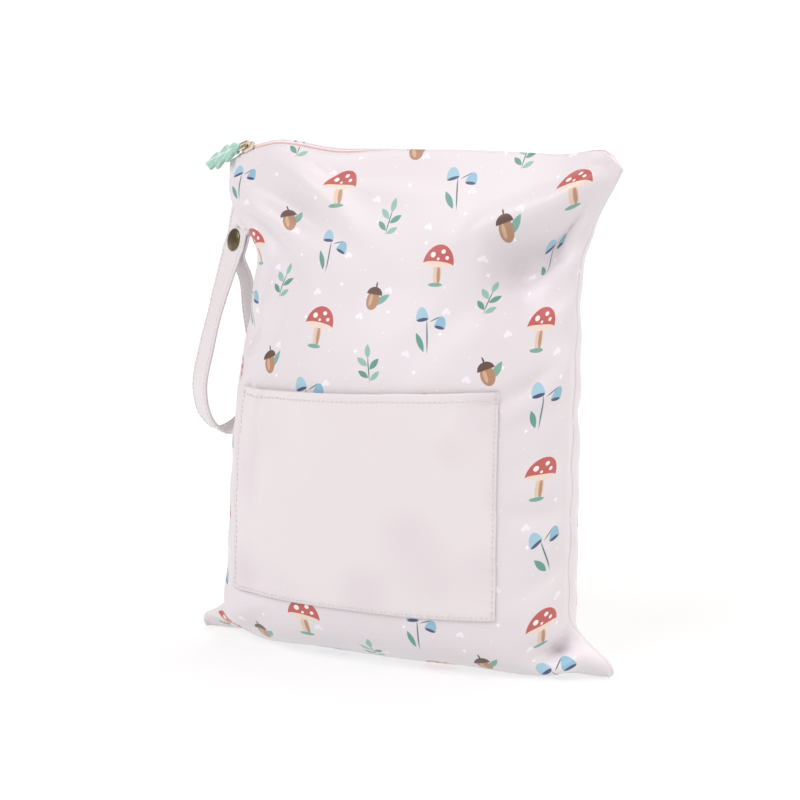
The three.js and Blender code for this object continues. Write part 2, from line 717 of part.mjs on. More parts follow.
// The soft pull: a lobed leaf whose neck holds the tab's end
function leafGeometry() {
  const neckAt = TAB_LENGTH - TAB_WALL / 2 - TAB_INSIDE;
  const upper = [];
  for (let i = 0; i <= LEAF_STEPS; i += 1) {
    const t = i / LEAF_STEPS;
    const turn = 2 * Math.PI * (LEAF_LOBES * t + LEAF_LOBE_START);
    const lobe = 1 - LEAF_LOBE_DEPTH * (1 - Math.cos(turn));
    const full = LEAF_HALF_WIDTH * Math.sin(Math.PI * t ** LEAF_WIDEST_POWER) ** LEAF_FULLNESS * lobe;
    const neck = LEAF_NECK * (1 - ease(0, LEAF_NECK_REACH, t));
    upper.push(new THREE.Vector2(-neckAt - LEAF_LENGTH * t, Math.max(full, neck, 0)));
  }
  const lower = upper.slice(1, -1).map((p) => new THREE.Vector2(p.x, -p.y)).reverse();
  const start = new THREE.Vector2(upper[0].x, -upper[0].y);
  const shape = new THREE.Shape([...upper, ...lower, start]);
  const body = new THREE.ExtrudeGeometry(shape, {
    depth: LEAF_WALL - 2 * LEAF_BEVEL,
    bevelThickness: LEAF_BEVEL,
    bevelSize: LEAF_BEVEL,
    bevelOffset: -LEAF_BEVEL,
    bevelSegments: LEAF_BEVEL_STEPS,
  });
  body.translate(0, 0, -LEAF_WALL / 2 + LEAF_BEVEL);
  const socketEnd = -neckAt - TAB_INSIDE - FIT_GAP;
  const socket = plate(
    rectangle(-neckAt + SOCKET_MOUTH, socketEnd, TAB_WIDTH + 2 * FIT_GAP).reverse(),
    [],
    TAB_WALL + 2 * FIT_GAP,
  );
  return geometryOf(solidOf(body).subtract(solidOf(socket)));
}

// Materials
const paleCloth = { color: '#f1e6e8', roughness: 0.55, metalness: 0 };
const plainCloth = { color: '#efe6e9', roughness: 0.5, metalness: 0 };
const zipCloth = { color: '#dcc9c6', roughness: 0.7, metalness: 0 };
const paleMetal = { color: '#d9d2c4', roughness: 0.3, metalness: 1 };
const agedBrass = { color: '#6b6248', roughness: 0.4, metalness: 1 };
const softMint = { color: '#a9d3c2', roughness: 0.5, metalness: 0 };

function piece(name, geometry, finish) {
  const mesh = new THREE.Mesh(geometry, new THREE.MeshStandardMaterial(finish));
  mesh.name = name;
  return mesh;
}

// The bag, put together
const bag = new THREE.Group();

const frontFaces = panelFaces(FRONT);
const backFaces = panelFaces(BACK);
bag.add(piece('front_panel', wallBetween(frontFaces.outer, frontFaces.inner, FRONT), paleCloth));
bag.add(piece('back_panel', wallBetween(backFaces.outer, backFaces.inner, BACK), paleCloth));
bag.add(piece('front_pocket', pocketGeometry(frontFaces.outer), plainCloth));
bag.add(piece('zip_tape', zipTapeGeometry(), zipCloth));

const ribbonRows = strapRows();
const snapFrame = strapFrameAt(ribbonRows, SNAP_ROW);
bag.add(piece('wrist_strap', strapGeometry(ribbonRows, snapFrame), plainCloth));
const snap = piece('strap_snap', snapGeometry(), agedBrass);
snap.applyMatrix4(frameMatrix(snapFrame));
bag.add(snap);

const zipEnd = new THREE.Group();
zipEnd.applyMatrix4(frameMatrix(zipFrame(SLIDER_AT)));
zipEnd.add(piece('zip_slider', sliderGeometry(), paleMetal));
const pull = new THREE.Group();
pull.position.z = SLIDER_FLOOR + SLIDER_HEIGHT + (BRIDGE_RISE - BRIDGE_WALL) / 2;
pull.rotation.y = THREE.MathUtils.degToRad(-PULL_DROOP);
pull.add(piece('pull_tab', tabGeometry(), paleMetal));
pull.add(piece('pull_leaf', leafGeometry(), softMint));
zipEnd.add(pull);
bag.add(zipEnd);

export default bag;
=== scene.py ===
# %% [markdown]
# A waterproof bag stands on its flattened base: two panels of coated cloth, a zip along the top,
# a plain patch pocket, and a wrist strap closed by a press fastener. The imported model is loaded
# first and stays as it is. Each piece is then made again at the same place, finer and softer.

# %% Load the fixed frame
import math

import bpy
import numpy as np
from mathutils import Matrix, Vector


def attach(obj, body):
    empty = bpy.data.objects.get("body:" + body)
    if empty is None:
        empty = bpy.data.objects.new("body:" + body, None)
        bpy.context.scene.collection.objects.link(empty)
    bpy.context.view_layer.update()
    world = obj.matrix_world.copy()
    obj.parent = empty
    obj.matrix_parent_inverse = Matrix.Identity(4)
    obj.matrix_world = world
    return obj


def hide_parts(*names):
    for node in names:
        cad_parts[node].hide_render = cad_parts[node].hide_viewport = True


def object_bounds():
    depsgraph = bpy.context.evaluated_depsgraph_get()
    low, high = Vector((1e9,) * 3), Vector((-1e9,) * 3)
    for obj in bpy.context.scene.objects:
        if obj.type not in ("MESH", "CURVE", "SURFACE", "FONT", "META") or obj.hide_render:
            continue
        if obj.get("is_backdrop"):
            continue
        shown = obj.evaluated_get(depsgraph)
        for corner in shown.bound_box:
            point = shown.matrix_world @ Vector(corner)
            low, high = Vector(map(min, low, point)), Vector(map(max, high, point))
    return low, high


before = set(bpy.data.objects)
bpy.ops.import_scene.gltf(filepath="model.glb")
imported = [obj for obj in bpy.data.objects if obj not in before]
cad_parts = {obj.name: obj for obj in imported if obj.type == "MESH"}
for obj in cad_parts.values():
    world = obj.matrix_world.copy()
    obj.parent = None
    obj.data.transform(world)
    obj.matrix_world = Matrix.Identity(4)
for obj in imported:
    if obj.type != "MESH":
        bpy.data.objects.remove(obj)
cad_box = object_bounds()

MM = 0.001
print("nodes:", sorted(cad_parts))

# %% [markdown]
# The camera is the one that took the picture: a long lens at a corner of the bag, a little above
# it. Its angle, distance and field come from fitting the bag's corners.

# %% Camera
CAMERA_TURN = 27
CAMERA_RISE = 10
CAMERA_DISTANCE = 1.719
CAMERA_TARGET = Vector((-0.0005, 0.0, 0.1655))
CAMERA_LENS = 120.9
SENSOR_WIDTH = 36


def direction(turn, rise):
    """The direction that is some degrees to the right of the front and some above it."""
    turn, rise = math.radians(turn), math.radians(rise)
    return Vector((math.sin(turn) * math.cos(rise), -math.cos(turn) * math.cos(rise), math.sin(rise)))


def add_object(name, data):
    """An object with its data, in the scene."""
    made = bpy.data.objects.new(name, data)
    bpy.context.scene.collection.objects.link(made)
    return made


backward = direction(CAMERA_TURN, CAMERA_RISE)
camera_data = bpy.data.cameras.new("camera")
camera_data.lens = CAMERA_LENS
camera_data.sensor_width = SENSOR_WIDTH
camera = add_object("camera", camera_data)
camera.location = CAMERA_TARGET + CAMERA_DISTANCE * backward
camera.rotation_euler = backward.to_track_quat("Z", "Y").to_euler()
bpy.context.scene.camera = camera
print("camera at", [round(x, 3) for x in camera.location])

# %% [markdown]
# Colours are written as the hex values that one would pick on a screen, and shaders want linear
# light, so one function turns them. A second small function adds a node to any tree, sets its
# properties, and links or fills its inputs, so that each material reads as a list of steps.

# %% Colours and nodes
def linear(hex_colour):
    """The linear RGBA value of an sRGB hex colour."""
    parts = [int(hex_colour[i:i + 2], 16) / 255 for i in (1, 3, 5)]
    return tuple(p / 12.92 if p <= 0.04045 else ((p + 0.055) / 1.055) ** 2.4 for p in parts) + (1,)


def add_node(tree, kind, inputs=None, **settings):
    """Adds a node with its settings; an input is a value, or another node's socket to link."""
    node = tree.nodes.new(kind)
    for name, value in settings.items():
        setattr(node, name, value)
    for name, value in (inputs or {}).items():
        if isinstance(value, bpy.types.Node):
            value = value.outputs[0]
        if isinstance(value, bpy.types.NodeSocket):
            tree.links.new(value, node.inputs[name])
        else:
            node.inputs[name].default_value = value
    return node


def new_material(name):
    """A material with its tree and shader, ready for links."""
    material = bpy.data.materials.new(name)
    material.use_nodes = True
    return material, material.node_tree, material.node_tree.nodes["Principled BSDF"]


def new_piece(name, vertices, faces, finish=None, smooth=True, edges=()):
    """A mesh object at the origin, with its place in its mesh."""
    mesh = bpy.data.meshes.new(name)
    mesh.from_pydata([tuple(v) for v in vertices], list(edges), [tuple(f) for f in faces])
    if finish:
        mesh.materials.append(finish)
    mesh.polygons.foreach_set("use_smooth", [smooth] * len(mesh.polygons))
    return add_object(name, mesh)


print("middle grey is", round(linear("#808080")[0], 3), "in linear light")

# %% [markdown]
# The studio is a lit white table under a white sky, as for a catalogue picture, so the bag stands on
# plain white with only a pale shadow beneath it. A broad key light in front on the left gives the
# cloth its modelling, one from the right keeps that side from going grey, and one from behind and
# above lays the soft shadow in front of the bag. All are suns rather than lamps, because a sun
# lights the whole table evenly, far behind as near.

# %% Studio
FLOOR_SIZE = 60.0
FLOOR_COLOUR = "#949494"
SKY_COLOUR = "#fff8f3"
SKY_STRENGTH = 0.42
TABLE_GLOW = 0.65
SUNS = [
    # name, colour, strength, turn, rise and spread in degrees
    ("key_sun", "#fbf8fc", 1.9, -26, 43, 38),
    ("side_sun", "#fdf8f7", 1.3, 92, 26, 60),
    ("back_sun", "#ffffff", 1.4, 172, 60, 40),
]

world = bpy.data.worlds.new("white_sky")
world.use_nodes = True
sky = world.node_tree.nodes["Background"]
sky.inputs["Color"].default_value = linear(SKY_COLOUR)
sky.inputs["Strength"].default_value = SKY_STRENGTH
bpy.context.scene.world = world
bpy.context.scene.view_settings.view_transform = "Standard"

for name, colour, strength, turn, rise, spread in SUNS:
    sun_data = bpy.data.lights.new(name, "SUN")
    sun_data.color = linear(colour)[:3]
    sun_data.energy = strength
    sun_data.angle = math.radians(spread)
    sun = add_object(name, sun_data)
    sun.rotation_euler = direction(turn, rise).to_track_quat("Z", "Y").to_euler()

# Lit white acrylic: matt, and glowing from below, so the shadow on it stays pale.
paper, tree, shader = new_material("lit_white_acrylic")
shader.inputs["Base Color"].default_value = linear(FLOOR_COLOUR)
shader.inputs["Roughness"].default_value = 0.9
shader.inputs["Emission Color"].default_value = linear("#ffffff")
shader.inputs["Emission Strength"].default_value = TABLE_GLOW
half = FLOOR_SIZE / 2
floor = new_piece("floor", [(-half, -half, 0), (half, -half, 0), (half, half, 0), (-half, half, 0)],
                  [(0, 1, 2, 3)], paper)
floor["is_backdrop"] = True
print("studio: sky", SKY_STRENGTH, "suns", [row[0] for row in SUNS])

# %% [markdown]
# The stuffed form is written as short tables, in millimetres: the two side seams, the middle line
# of each panel, how square the sections are, and the zip's line. These are the tables of the solid
# model, so the cloth lies where the solids are. A table is read smoothly between its rows.

# %% Tables of the stuffed form
PANEL_WIDTH = 300
PANEL_HEIGHT = 400
WALL = 1.2
SEAM_GAP = 0.1
FRONT = -1
BACK = 1


def table(columns, *rows):
    """The rows of a table as one array for each named column."""
    return dict(zip(columns.split(), np.array(rows, float).T))


SIDE_SEAMS = table(
    "share leftX leftY leftZ rightX rightY rightZ",
    (0.000, -142.0, -8, 1.5, 147.5, -4, 1.8),
    (0.012, -145.0, -7.5, 4.5, 151.0, -4, 4.0),
    (0.030, -144.0, -6.5, 9.5, 149.0, -4, 8.5),
    (0.055, -136.5, -4, 13.5, 143.0, -3.5, 14.5),
    (0.090, -126.5, -2, 24, 130.5, -3, 24.5),
    (0.125, -123.0, -0.5, 34, 121.5, -3, 35.5),
    (0.170, -121.5, 1, 47, 119.5, -3, 47),
    (0.300, -119.0, 2, 94, 120.0, -2, 94),
    (0.450, -116.0, 3, 147, 121.0, -2, 149),
    (0.600, -110.5, 4, 203, 122.5, -2, 206),
    (0.720, -105.0, 5, 241, 123.5, -2, 250),
    (0.780, -104.5, 6, 256, 126.0, -1, 267),
    (0.840, -115.0, 7, 272, 132.0, 0, 284),
    (0.890, -125.0, 7, 284, 139.0, 0, 297),
    (0.940, -129.0, 7, 297, 146.0, 0, 309),
    (1.000, -127.5, 5, 313, 151.0, 0, 319),
)
FRONT_MIDDLE = table(
    "share x y z",
    (0.000, 4, 6, WALL),
    (0.030, 4, -6, WALL),
    (0.055, 4, -16, WALL),
    (0.120, 4, -38, 9),
    (0.170, 5, -51, 24),
    (0.235, 6, -59, 48),
    (0.350, 6, -62, 94),
    (0.440, 6, -62, 128),
    (0.580, 7, -58, 178),
    (0.710, 8, -48, 226),
    (0.830, 10, -34, 268),
    (0.930, 11, -17, 302),
    (1.000, 12, -2, 325),
)
BACK_MIDDLE = table(
    "share x y z",
    (0.000, 4, 6, WALL),
    (0.030, 4, 17, WALL),
    (0.060, 4, 29, WALL),
    (0.110, 4, 43, 8),
    (0.165, 5, 54, 25),
    (0.240, 6, 60, 54),
    (0.350, 6, 61, 96),
    (0.440, 6, 60, 130),
    (0.580, 7, 55, 182),
    (0.710, 8, 45, 230),
    (0.830, 10, 32, 271),
    (0.930, 11, 17, 304),
    (1.000, 12, 2, 325),
)
SQUARENESS = table(
    "share left right back",
    (0.00, 3.0, 3.0, 3.0),
    (0.10, 3.6, 2.6, 2.5),
    (0.25, 2.5, 2.0, 2.2),
    (0.45, 2.4, 1.85, 2.1),
    (0.80, 2.0, 1.9, 2.0),
    (1.00, 2.0, 2.0, 2.0),
)
ZIP_LINE = table(
    "across y z roll",
    (-1.00, 5, 313, 0),
    (-0.93, 3, 318, 38),
    (-0.84, 0, 323, 44),
    (-0.68, -3, 327, 42),
    (-0.38, -4, 323, 40),
    (-0.15, 0, 324.7, 5),
    (0.30, 3, 326.0, -15),
    (0.70, 2, 326.0, -10),
    (0.90, 0, 330, 0),
    (1.00, 0, 319, 0),
)
print("rows: side seams", len(SIDE_SEAMS["share"]), "front", len(FRONT_MIDDLE["share"]),
      "back", len(BACK_MIDDLE["share"]), "zip", len(ZIP_LINE["across"]))


# %% Reading a table
def read(rows, column, at):
    """Smooth reading between a table's rows, with no swing past them."""
    keys = next(iter(rows.values()))
    values = rows[column]
    widths = np.diff(keys)
    rises = np.diff(values) / widths
    slopes = np.concatenate([rises[:1], np.zeros(len(rises) - 1), rises[-1:]])
    product = rises[:-1] * rises[1:]
    same = product > 0
    slopes[1:-1][same] = 2 * product[same] / (rises[:-1] + rises[1:])[same]
    at = np.clip(at, keys[0], keys[-1])
    i = np.clip(np.searchsorted(keys, at) - 1, 0, len(widths) - 1)
    t = (at - keys[i]) / widths[i]
    start_pull = slopes[i] * widths[i]
    end_pull = slopes[i + 1] * widths[i]
    change = values[i + 1] - values[i]
    return (values[i] + start_pull * t + (3 * change - 2 * start_pull - end_pull) * t ** 2
            + (start_pull + end_pull - 2 * change) * t ** 3)


def ease(start, end, value):
    """A soft step from 0 to 1."""
    t = np.clip((value - start) / (end - start), 0, 1)
    return t * t * (3 - 2 * t)


print("front middle at half height, y", read(FRONT_MIDDLE, "y", 0.5).round(1), "mm")

# %% [markdown]
# A level section of a panel is a quarter of a rounded arch on each hand, from the middle line to
# the side seam. Points are spread evenly along it, because cloth keeps its length, so a place on
# the flat panel (across, share of the height) always lands on the matching place of the form.

# %% The stuffed form of a panel
ARC_STEPS = 60
LEVEL_SHARE = 0.64
CLIMB_POWER = 1.8


def quarter_arc(width, depth, power, share):
    """Places on a quarter of a rounded section, at even shares of its length."""
    angle = np.linspace(0, math.pi / 2, ARC_STEPS + 1)
    run = np.sin(angle) ** (2 / power)
    rise = np.cos(angle) ** (2 / power)
    steps = np.hypot(np.diff(run) * width, np.diff(rise) * depth)
    length = np.concatenate([[0], np.cumsum(steps)])
    place = share * length[-1]
    return np.interp(place, length, run), np.interp(place, length, rise)


def panel_form(side, across, share):
    """The form before folds, as a grid of places: one row for each share, in millimetres."""
    middle = FRONT_MIDDLE if side == FRONT else BACK_MIDDLE
    out = np.abs(across)
    climb = (np.maximum(0, out - LEVEL_SHARE) / (1 - LEVEL_SHARE)) ** CLIMB_POWER
    grid = np.zeros((len(share), len(across), 3))
    for row, level in enumerate(share):
        mx, my, mz = (read(middle, axis, level) for axis in "xyz")
        for hand, picked in (("left", across < 0), ("right", across >= 0)):
            sx, sy, sz = (read(SIDE_SEAMS, hand + axis, level) for axis in "XYZ")
            power = read(SQUARENESS, hand if side == FRONT else "back", level)
            run, rise = quarter_arc(abs(sx - mx), abs(my - sy), power, out[picked])
            grid[row, picked, 0] = mx + (sx - mx) * run
            grid[row, picked, 1] = sy + (my - sy) * rise
            grid[row, picked, 2] = mz + (sz - mz) * climb[picked]
    return grid


half_height = panel_form(FRONT, np.array([-1.0, 1.0]), np.array([0.5]))
print("from seam to seam at half height", np.ptp(half_height[..., 0]).round(1), "mm")

# %% [markdown]
# The top edges are drawn together along the zip, which waves and leans a little. Beside the side
# seams the cloth gathers, because the thread holds it shorter than it was cut. Both are small
# movements of the form, so they are added to its grid.

# %% Zip line and gathers
ZIP_REACH_START = 0.78
ZIP_HALF_WIDTH = 2.3
ZIP_END = 0.94
PUCKER_DEPTH = 1.6
PUCKER_PITCH = 36
PUCKER_REACH = 26
PUCKER_FADE = 40
STRAP_ROOT_SHARE = 0.855
STRAP_ROOT_CLEAR = 0.09


def zip_points(across):
    """The zip's middle line."""
    top = np.ones(1)
    x = (panel_form(FRONT, across, top)[0, :, 0] + panel_form(BACK, across, top)[0, :, 0]) / 2
    return np.stack([x, read(ZIP_LINE, "y", across), read(ZIP_LINE, "z", across)], -1)


def zip_across(across):
    """The direction across the zip, from its front edge to its back edge."""
    roll = np.radians(read(ZIP_LINE, "roll", across))
    return np.stack([np.zeros_like(roll), np.cos(roll), np.sin(roll)], -1)


def zip_half_gap(across):
    """Half the gap between the top edges, which closes to the seam at both corners."""
    return ZIP_HALF_WIDTH + (SEAM_GAP / 2 - ZIP_HALF_WIDTH) * ease(ZIP_END, 1, np.abs(across))


def seam_pucker(across, share):
    """Gathers along the side seams, left out at the strap's root."""
    across, share = np.meshgrid(across, share)
    from_seam = (1 - np.abs(across)) * PANEL_WIDTH / 2
    up = share * PANEL_HEIGHT
    low = ease(PUCKER_FADE, 2 * PUCKER_FADE, up)
    high = ease(PUCKER_FADE, 2 * PUCKER_FADE, PANEL_HEIGHT - up)
    root = np.where(across < 0, ease(0, STRAP_ROOT_CLEAR, np.abs(share - STRAP_ROOT_SHARE)), 1)
    wave = np.sin(2 * math.pi * up / PUCKER_PITCH + np.sign(across))
    return PUCKER_DEPTH * low * high * root * wave * np.exp(-from_seam / PUCKER_REACH)


def panel_smooth(side, across, share):
    """The inner face of a panel, drawn to the zip and to the seams, before its folds."""
    grid = panel_form(side, across, share)
    grid[..., 1] += side * SEAM_GAP / 2
    top = panel_form(side, across, np.ones(1))[0]
    edge = zip_points(across) + side * zip_half_gap(across)[:, None] * zip_across(across)
    reach = ease(ZIP_REACH_START, 1, share)[:, None]
    grid[..., 1] += reach * (edge[:, 1] - top[:, 1] - side * SEAM_GAP / 2)
    grid[..., 2] += reach * (edge[:, 2] - top[:, 2])
    grid[..., 1] += seam_pucker(across, share)
    return grid


print("zip's ends", zip_points(np.array([-1.0, 1.0])).round(1).tolist(), "mm")

# %% [markdown]
# Soft dents and swells lie on top of the form. Each is one row: where its middle is on the flat
# panel, how long and wide it is, which way it runs, and how deep it goes. The first table holds the
# main dents of the solid model, and the second one holds finer creases that only the cloth shows.

# %% Folds
FOLDS = table(
    "side x z length width turn depth",
    (FRONT, 100, 361, 50, 10, 22, 6.5),
    (FRONT, 112, 339, 42, 13, 16, -4.0),
    (FRONT, 120, 315, 36, 20, 4, -20.0),
    (FRONT, 94, 322, 15, 20, 10, -7.5),
    (FRONT, 118, 290, 42, 18, -14, -7.0),
    (FRONT, 69, 326, 10, 22, 10, 5.0),
    (FRONT, 124, 266, 26, 10, -25, -3.0),
    (FRONT, -66, 373, 42, 10, -35, 5.0),
    (FRONT, -80, 355, 38, 11, -26, -6.5),
    (FRONT, -112, 350, 18, 10, -30, 3.0),
    (FRONT, -100, 326, 34, 10, -38, -5.5),
    (FRONT, -10, 374, 60, 12, -6, 4.0),
    (FRONT, 14, 300, 60, 26, 12, -2.5),
    (FRONT, 130, 48, 24, 9, -35, -5.5),
    (FRONT, 137, 43, 12, 7, 0, -9.0),
    (FRONT, 132, 32, 16, 6, 10, 3.0),
    (FRONT, -104, 44, 36, 11, 40, -4.5),
    (FRONT, -112, 262, 34, 11, 20, -3.0),
    (FRONT, 108, 190, 60, 14, 84, -2.5),
    (BACK, -46, 384, 50, 12, 0, 6.0),
    (BACK, -70, 320, 50, 16, 60, -6.0),
    (BACK, 66, 316, 54, 16, -56, -6.0),
    (BACK, 10, 250, 90, 20, 8, -4.0),
    (BACK, 100, 48, 42, 12, -36, -5.0),
    (BACK, -102, 48, 42, 12, 38, -5.0),
    (BACK, -30, 150, 110, 26, -6, -2.5),
)
CREASES = table(
    "side x z length width turn depth",
    (FRONT, -56, 385, 22, 6, -38, -3.0),
    (FRONT, 134, 384, 20, 5, 25, -2.5),
    (FRONT, 76, 328, 7, 18, 16, -3.5),
    (FRONT, 98, 326, 28, 13, 12, -4.5),
    (FRONT, 136, 342, 26, 11, 55, -3.0),
    (FRONT, 50, 278, 44, 14, 45, -3.0),
    (FRONT, 112, 226, 26, 7, 14, 2.0),
    (FRONT, -113, 276, 48, 5, 80, -2.5),
    (FRONT, -101, 270, 44, 7, 80, 1.5),
    (FRONT, -86, 176, 66, 12, 88, -7.0),
    (FRONT, 108, 238, 24, 7, 20, -3.5),
    (FRONT, 120, 148, 26, 7, -14, -1.6),
    (FRONT, 124, 104, 24, 7, 10, -1.6),
    (FRONT, -40, 40, 34, 8, 8, -1.6),
    (FRONT, 44, 36, 30, 7, -10, -1.6),
    (FRONT, 130, 31, 18, 5, 4, 3.0),
    (FRONT, 134, 53, 16, 6, 0, 2.5),
    (BACK, 118, 200, 30, 8, 14, -2.0),
    (BACK, -116, 230, 32, 8, -16, -2.0),
    (BACK, -96, 120, 40, 10, 24, -1.8),
    (BACK, 60, 70, 36, 8, -12, -1.8),
)
print("folds", len(FOLDS["x"]), "creases", len(CREASES["x"]))

# %% Panel grids
FOLD_EDGE_FADE = 18
CELL = 4
COLUMNS = PANEL_WIDTH // CELL
ROWS = PANEL_HEIGHT // CELL
ACROSS = np.linspace(-1, 1, COLUMNS + 1)
SHARE = np.linspace(0, 1, ROWS + 1)


def grid_normals(grid, side):
    """The outward direction at each point of a grid."""
    up = np.gradient(grid, axis=0)
    right = np.gradient(grid, axis=1)
    normal = np.cross(right, up) * (1 if side == FRONT else -1)
    return normal / np.linalg.norm(normal, axis=-1, keepdims=True)


def fold_depth(folds, side, across, share):
    """How far a table of folds lifts or sinks the cloth at each point of a panel."""
    x, z = np.meshgrid(across * PANEL_WIDTH / 2, share * PANEL_HEIGHT)
    from_edge = np.minimum(np.minimum(PANEL_WIDTH / 2 - np.abs(x), PANEL_HEIGHT - z), z)
    depth = np.zeros_like(x)
    for i in np.flatnonzero(folds["side"] == side):
        turn = math.radians(folds["turn"][i])
        dx, dz = x - folds["x"][i], z - folds["z"][i]
        along = dx * math.cos(turn) + dz * math.sin(turn)
        beside = dz * math.cos(turn) - dx * math.sin(turn)
        spread = (along / folds["length"][i]) ** 2 + (beside / folds["width"][i]) ** 2
        depth += folds["depth"][i] * np.exp(-spread)
    return depth * ease(0, FOLD_EDGE_FADE, from_edge)


def panel_grid(side, across, share):
    """A panel's inner face with its folds, in millimetres."""
    grid = panel_smooth(side, across, share)
    depth = fold_depth(FOLDS, side, across, share) + fold_depth(CREASES, side, across, share)
    return grid + grid_normals(grid, side) * depth[..., None]


faces_of = {side: panel_grid(side, ACROSS, SHARE) for side in (FRONT, BACK)}
print("panel grid", faces_of[FRONT].shape, "lowest", faces_of[FRONT][..., 2].min().round(2), "mm")

# %% [markdown]
# Real cloth also keeps its size: it was cut flat, so where the form is shorter than the cut piece
# it buckles into small wrinkles, most of all beside the seams. A short cloth simulation finds them.
# Both panels are sewn into one skin whose springs remember the flat cut, and a little air pressure
# stands for the stuffing. Only the fine part of the movement is kept, so the main form stays.

# %% One skin of both panels
def sewn_skin(grids):
    """One mesh of both panels, sharing the points of the side and bottom seams."""
    count = (ROWS + 1) * (COLUMNS + 1)
    index = {FRONT: np.arange(count).reshape(ROWS + 1, COLUMNS + 1)}
    index[BACK] = index[FRONT] + count
    seams = [np.s_[0, :], np.s_[:, 0], np.s_[:, -1]]
    for seam in seams:
        index[BACK][seam] = index[FRONT][seam]
    quads = []
    for side in (FRONT, BACK):
        i = index[side]
        ring = np.stack([i[:-1, :-1], i[:-1, 1:], i[1:, 1:], i[1:, :-1]], -1).reshape(-1, 4)
        quads.append(ring if side == FRONT else ring[:, ::-1])
    used, inverse = np.unique(np.concatenate(quads), return_inverse=True)
    places = np.concatenate([grids[FRONT].reshape(-1, 3), grids[BACK].reshape(-1, 3)])
    lookup = np.zeros(2 * count, int)
    lookup[used] = np.arange(len(used))
    return places[used], inverse.reshape(-1, 4), {s: lookup[index[s]] for s in index}


def flat_cut():
    """The two panels as they were cut, laid on each other."""
    x, z = np.meshgrid(ACROSS * PANEL_WIDTH / 2, SHARE * PANEL_HEIGHT)
    return {side: np.stack([x, np.full_like(x, side * SEAM_GAP), z], -1) for side in (FRONT, BACK)}


skin_places, skin_quads, skin_index = sewn_skin(faces_of)
skin_flat = sewn_skin(flat_cut())[0]
print("skin points", len(skin_places), "faces", len(skin_quads))

# %% Cloth simulation
SIM_FRAMES = 16
CLOTH_SETTINGS = {
    "quality": 6, "mass": 0.15, "tension_stiffness": 60, "compression_stiffness": 60,
    "shear_stiffness": 20, "bending_stiffness": 0.4, "air_damping": 4,
    "use_pressure": True, "uniform_pressure_force": 1.6,
}


def settled_skin():
    """Runs the cloth simulation and gives each panel's settled places, in millimetres."""
    skin = new_piece("skin", skin_places * MM, skin_quads)
    skin.shape_key_add(name="stuffed")
    cut = skin.shape_key_add(name="flat_cut")
    cut.data.foreach_set("co", (skin_flat * MM).astype(np.float32).ravel())
    held = skin.vertex_groups.new(name="zip_edges")
    held.add([int(i) for side in (FRONT, BACK) for i in skin_index[side][-1]], 1.0, "REPLACE")
    cloth = skin.modifiers.new("cloth", "CLOTH")
    for name, value in CLOTH_SETTINGS.items():
        setattr(cloth.settings, name, value)
    cloth.settings.vertex_group_mass = "zip_edges"
    cloth.settings.rest_shape_key = cut
    cloth.settings.effector_weights.gravity = 0
    cloth.point_cache.frame_start = 1
    cloth.point_cache.frame_end = SIM_FRAMES
    scene = bpy.context.scene
    for moment in range(1, SIM_FRAMES + 1):
        scene.frame_set(moment)
    settled = skin.evaluated_get(bpy.context.evaluated_depsgraph_get()).to_mesh()
    moved = np.empty(len(skin_places) * 3, np.float32)
    settled.vertices.foreach_get("co", moved)
    moved = moved.reshape(-1, 3).astype(float) / MM
    scene.frame_set(1)
    bpy.data.objects.remove(skin)
    print("simulated", SIM_FRAMES, "frames")
    return {side: moved[skin_index[side]] for side in (FRONT, BACK)}


# %% Fine wrinkles
WRINKLE_BLUR = 60
WRINKLE_CAP = 4.0
WRINKLE_GAIN = 1.0
SEAM_SHARE_ROWS = 4
TINY = 1e-9


def blurred(field, times):
    """A grid smoothed along its rows and columns, again and again."""
    for _ in range(times):
        for axis in (0, 1):
            pad = [(1, 1) if a == axis else (0, 0) for a in range(3)]
            wide = np.pad(field, pad, mode="edge")
            before = np.take(wide, range(0, field.shape[axis]), axis)
            after = np.take(wide, range(2, field.shape[axis] + 2), axis)
            field = (before + 2 * field + after) / 4
    return field


def fine_wrinkles(settled):
    """The fine part of the simulated movement, capped, and the same on both sides of a seam."""
    wrinkles = {}
    for side in (FRONT, BACK):
        moved = settled[side] - faces_of[side]
        fine = (moved - blurred(moved, WRINKLE_BLUR)) * WRINKLE_GAIN
        size = np.linalg.norm(fine, axis=-1, keepdims=True)
        wrinkles[side] = fine * WRINKLE_CAP * np.tanh(size / WRINKLE_CAP) / np.maximum(size, TINY)
    row, column = np.meshgrid(np.arange(ROWS + 1), np.arange(COLUMNS + 1), indexing="ij")
    from_seam = np.minimum(np.minimum(column, COLUMNS - column), row)
    near = (1 - ease(0, SEAM_SHARE_ROWS, from_seam))[..., None]
    shared = (wrinkles[FRONT] + wrinkles[BACK]) / 2
    top_fade = ease(0, SEAM_SHARE_ROWS, ROWS - row)[..., None]
    return {side: (near * shared + (1 - near) * wrinkles[side]) * top_fade for side in (FRONT, BACK)}


wrinkles = fine_wrinkles(settled_skin())
for side in (FRONT, BACK):
    faces_of[side] = faces_of[side] + wrinkles[side]
    faces_of[side][..., 2] = np.maximum(faces_of[side][..., 2], WALL)
    print("wrinkles, side", side, "rms", np.sqrt((wrinkles[side] ** 2).sum(-1).mean()).round(2), "mm")

# %% [markdown]
# The panels are coated knitted polyester with a small print. Its motifs are drawn with shader
# maths in the millimetres of the flat cut, so they bend with the cloth. One table lists the plain
# shapes of each motif, one to a row, and a loop turns the rows into nodes. The cloth is cut
# into a half-drop grid of cells, and each cell holds one motif, turned and shifted by its own random
# numbers.

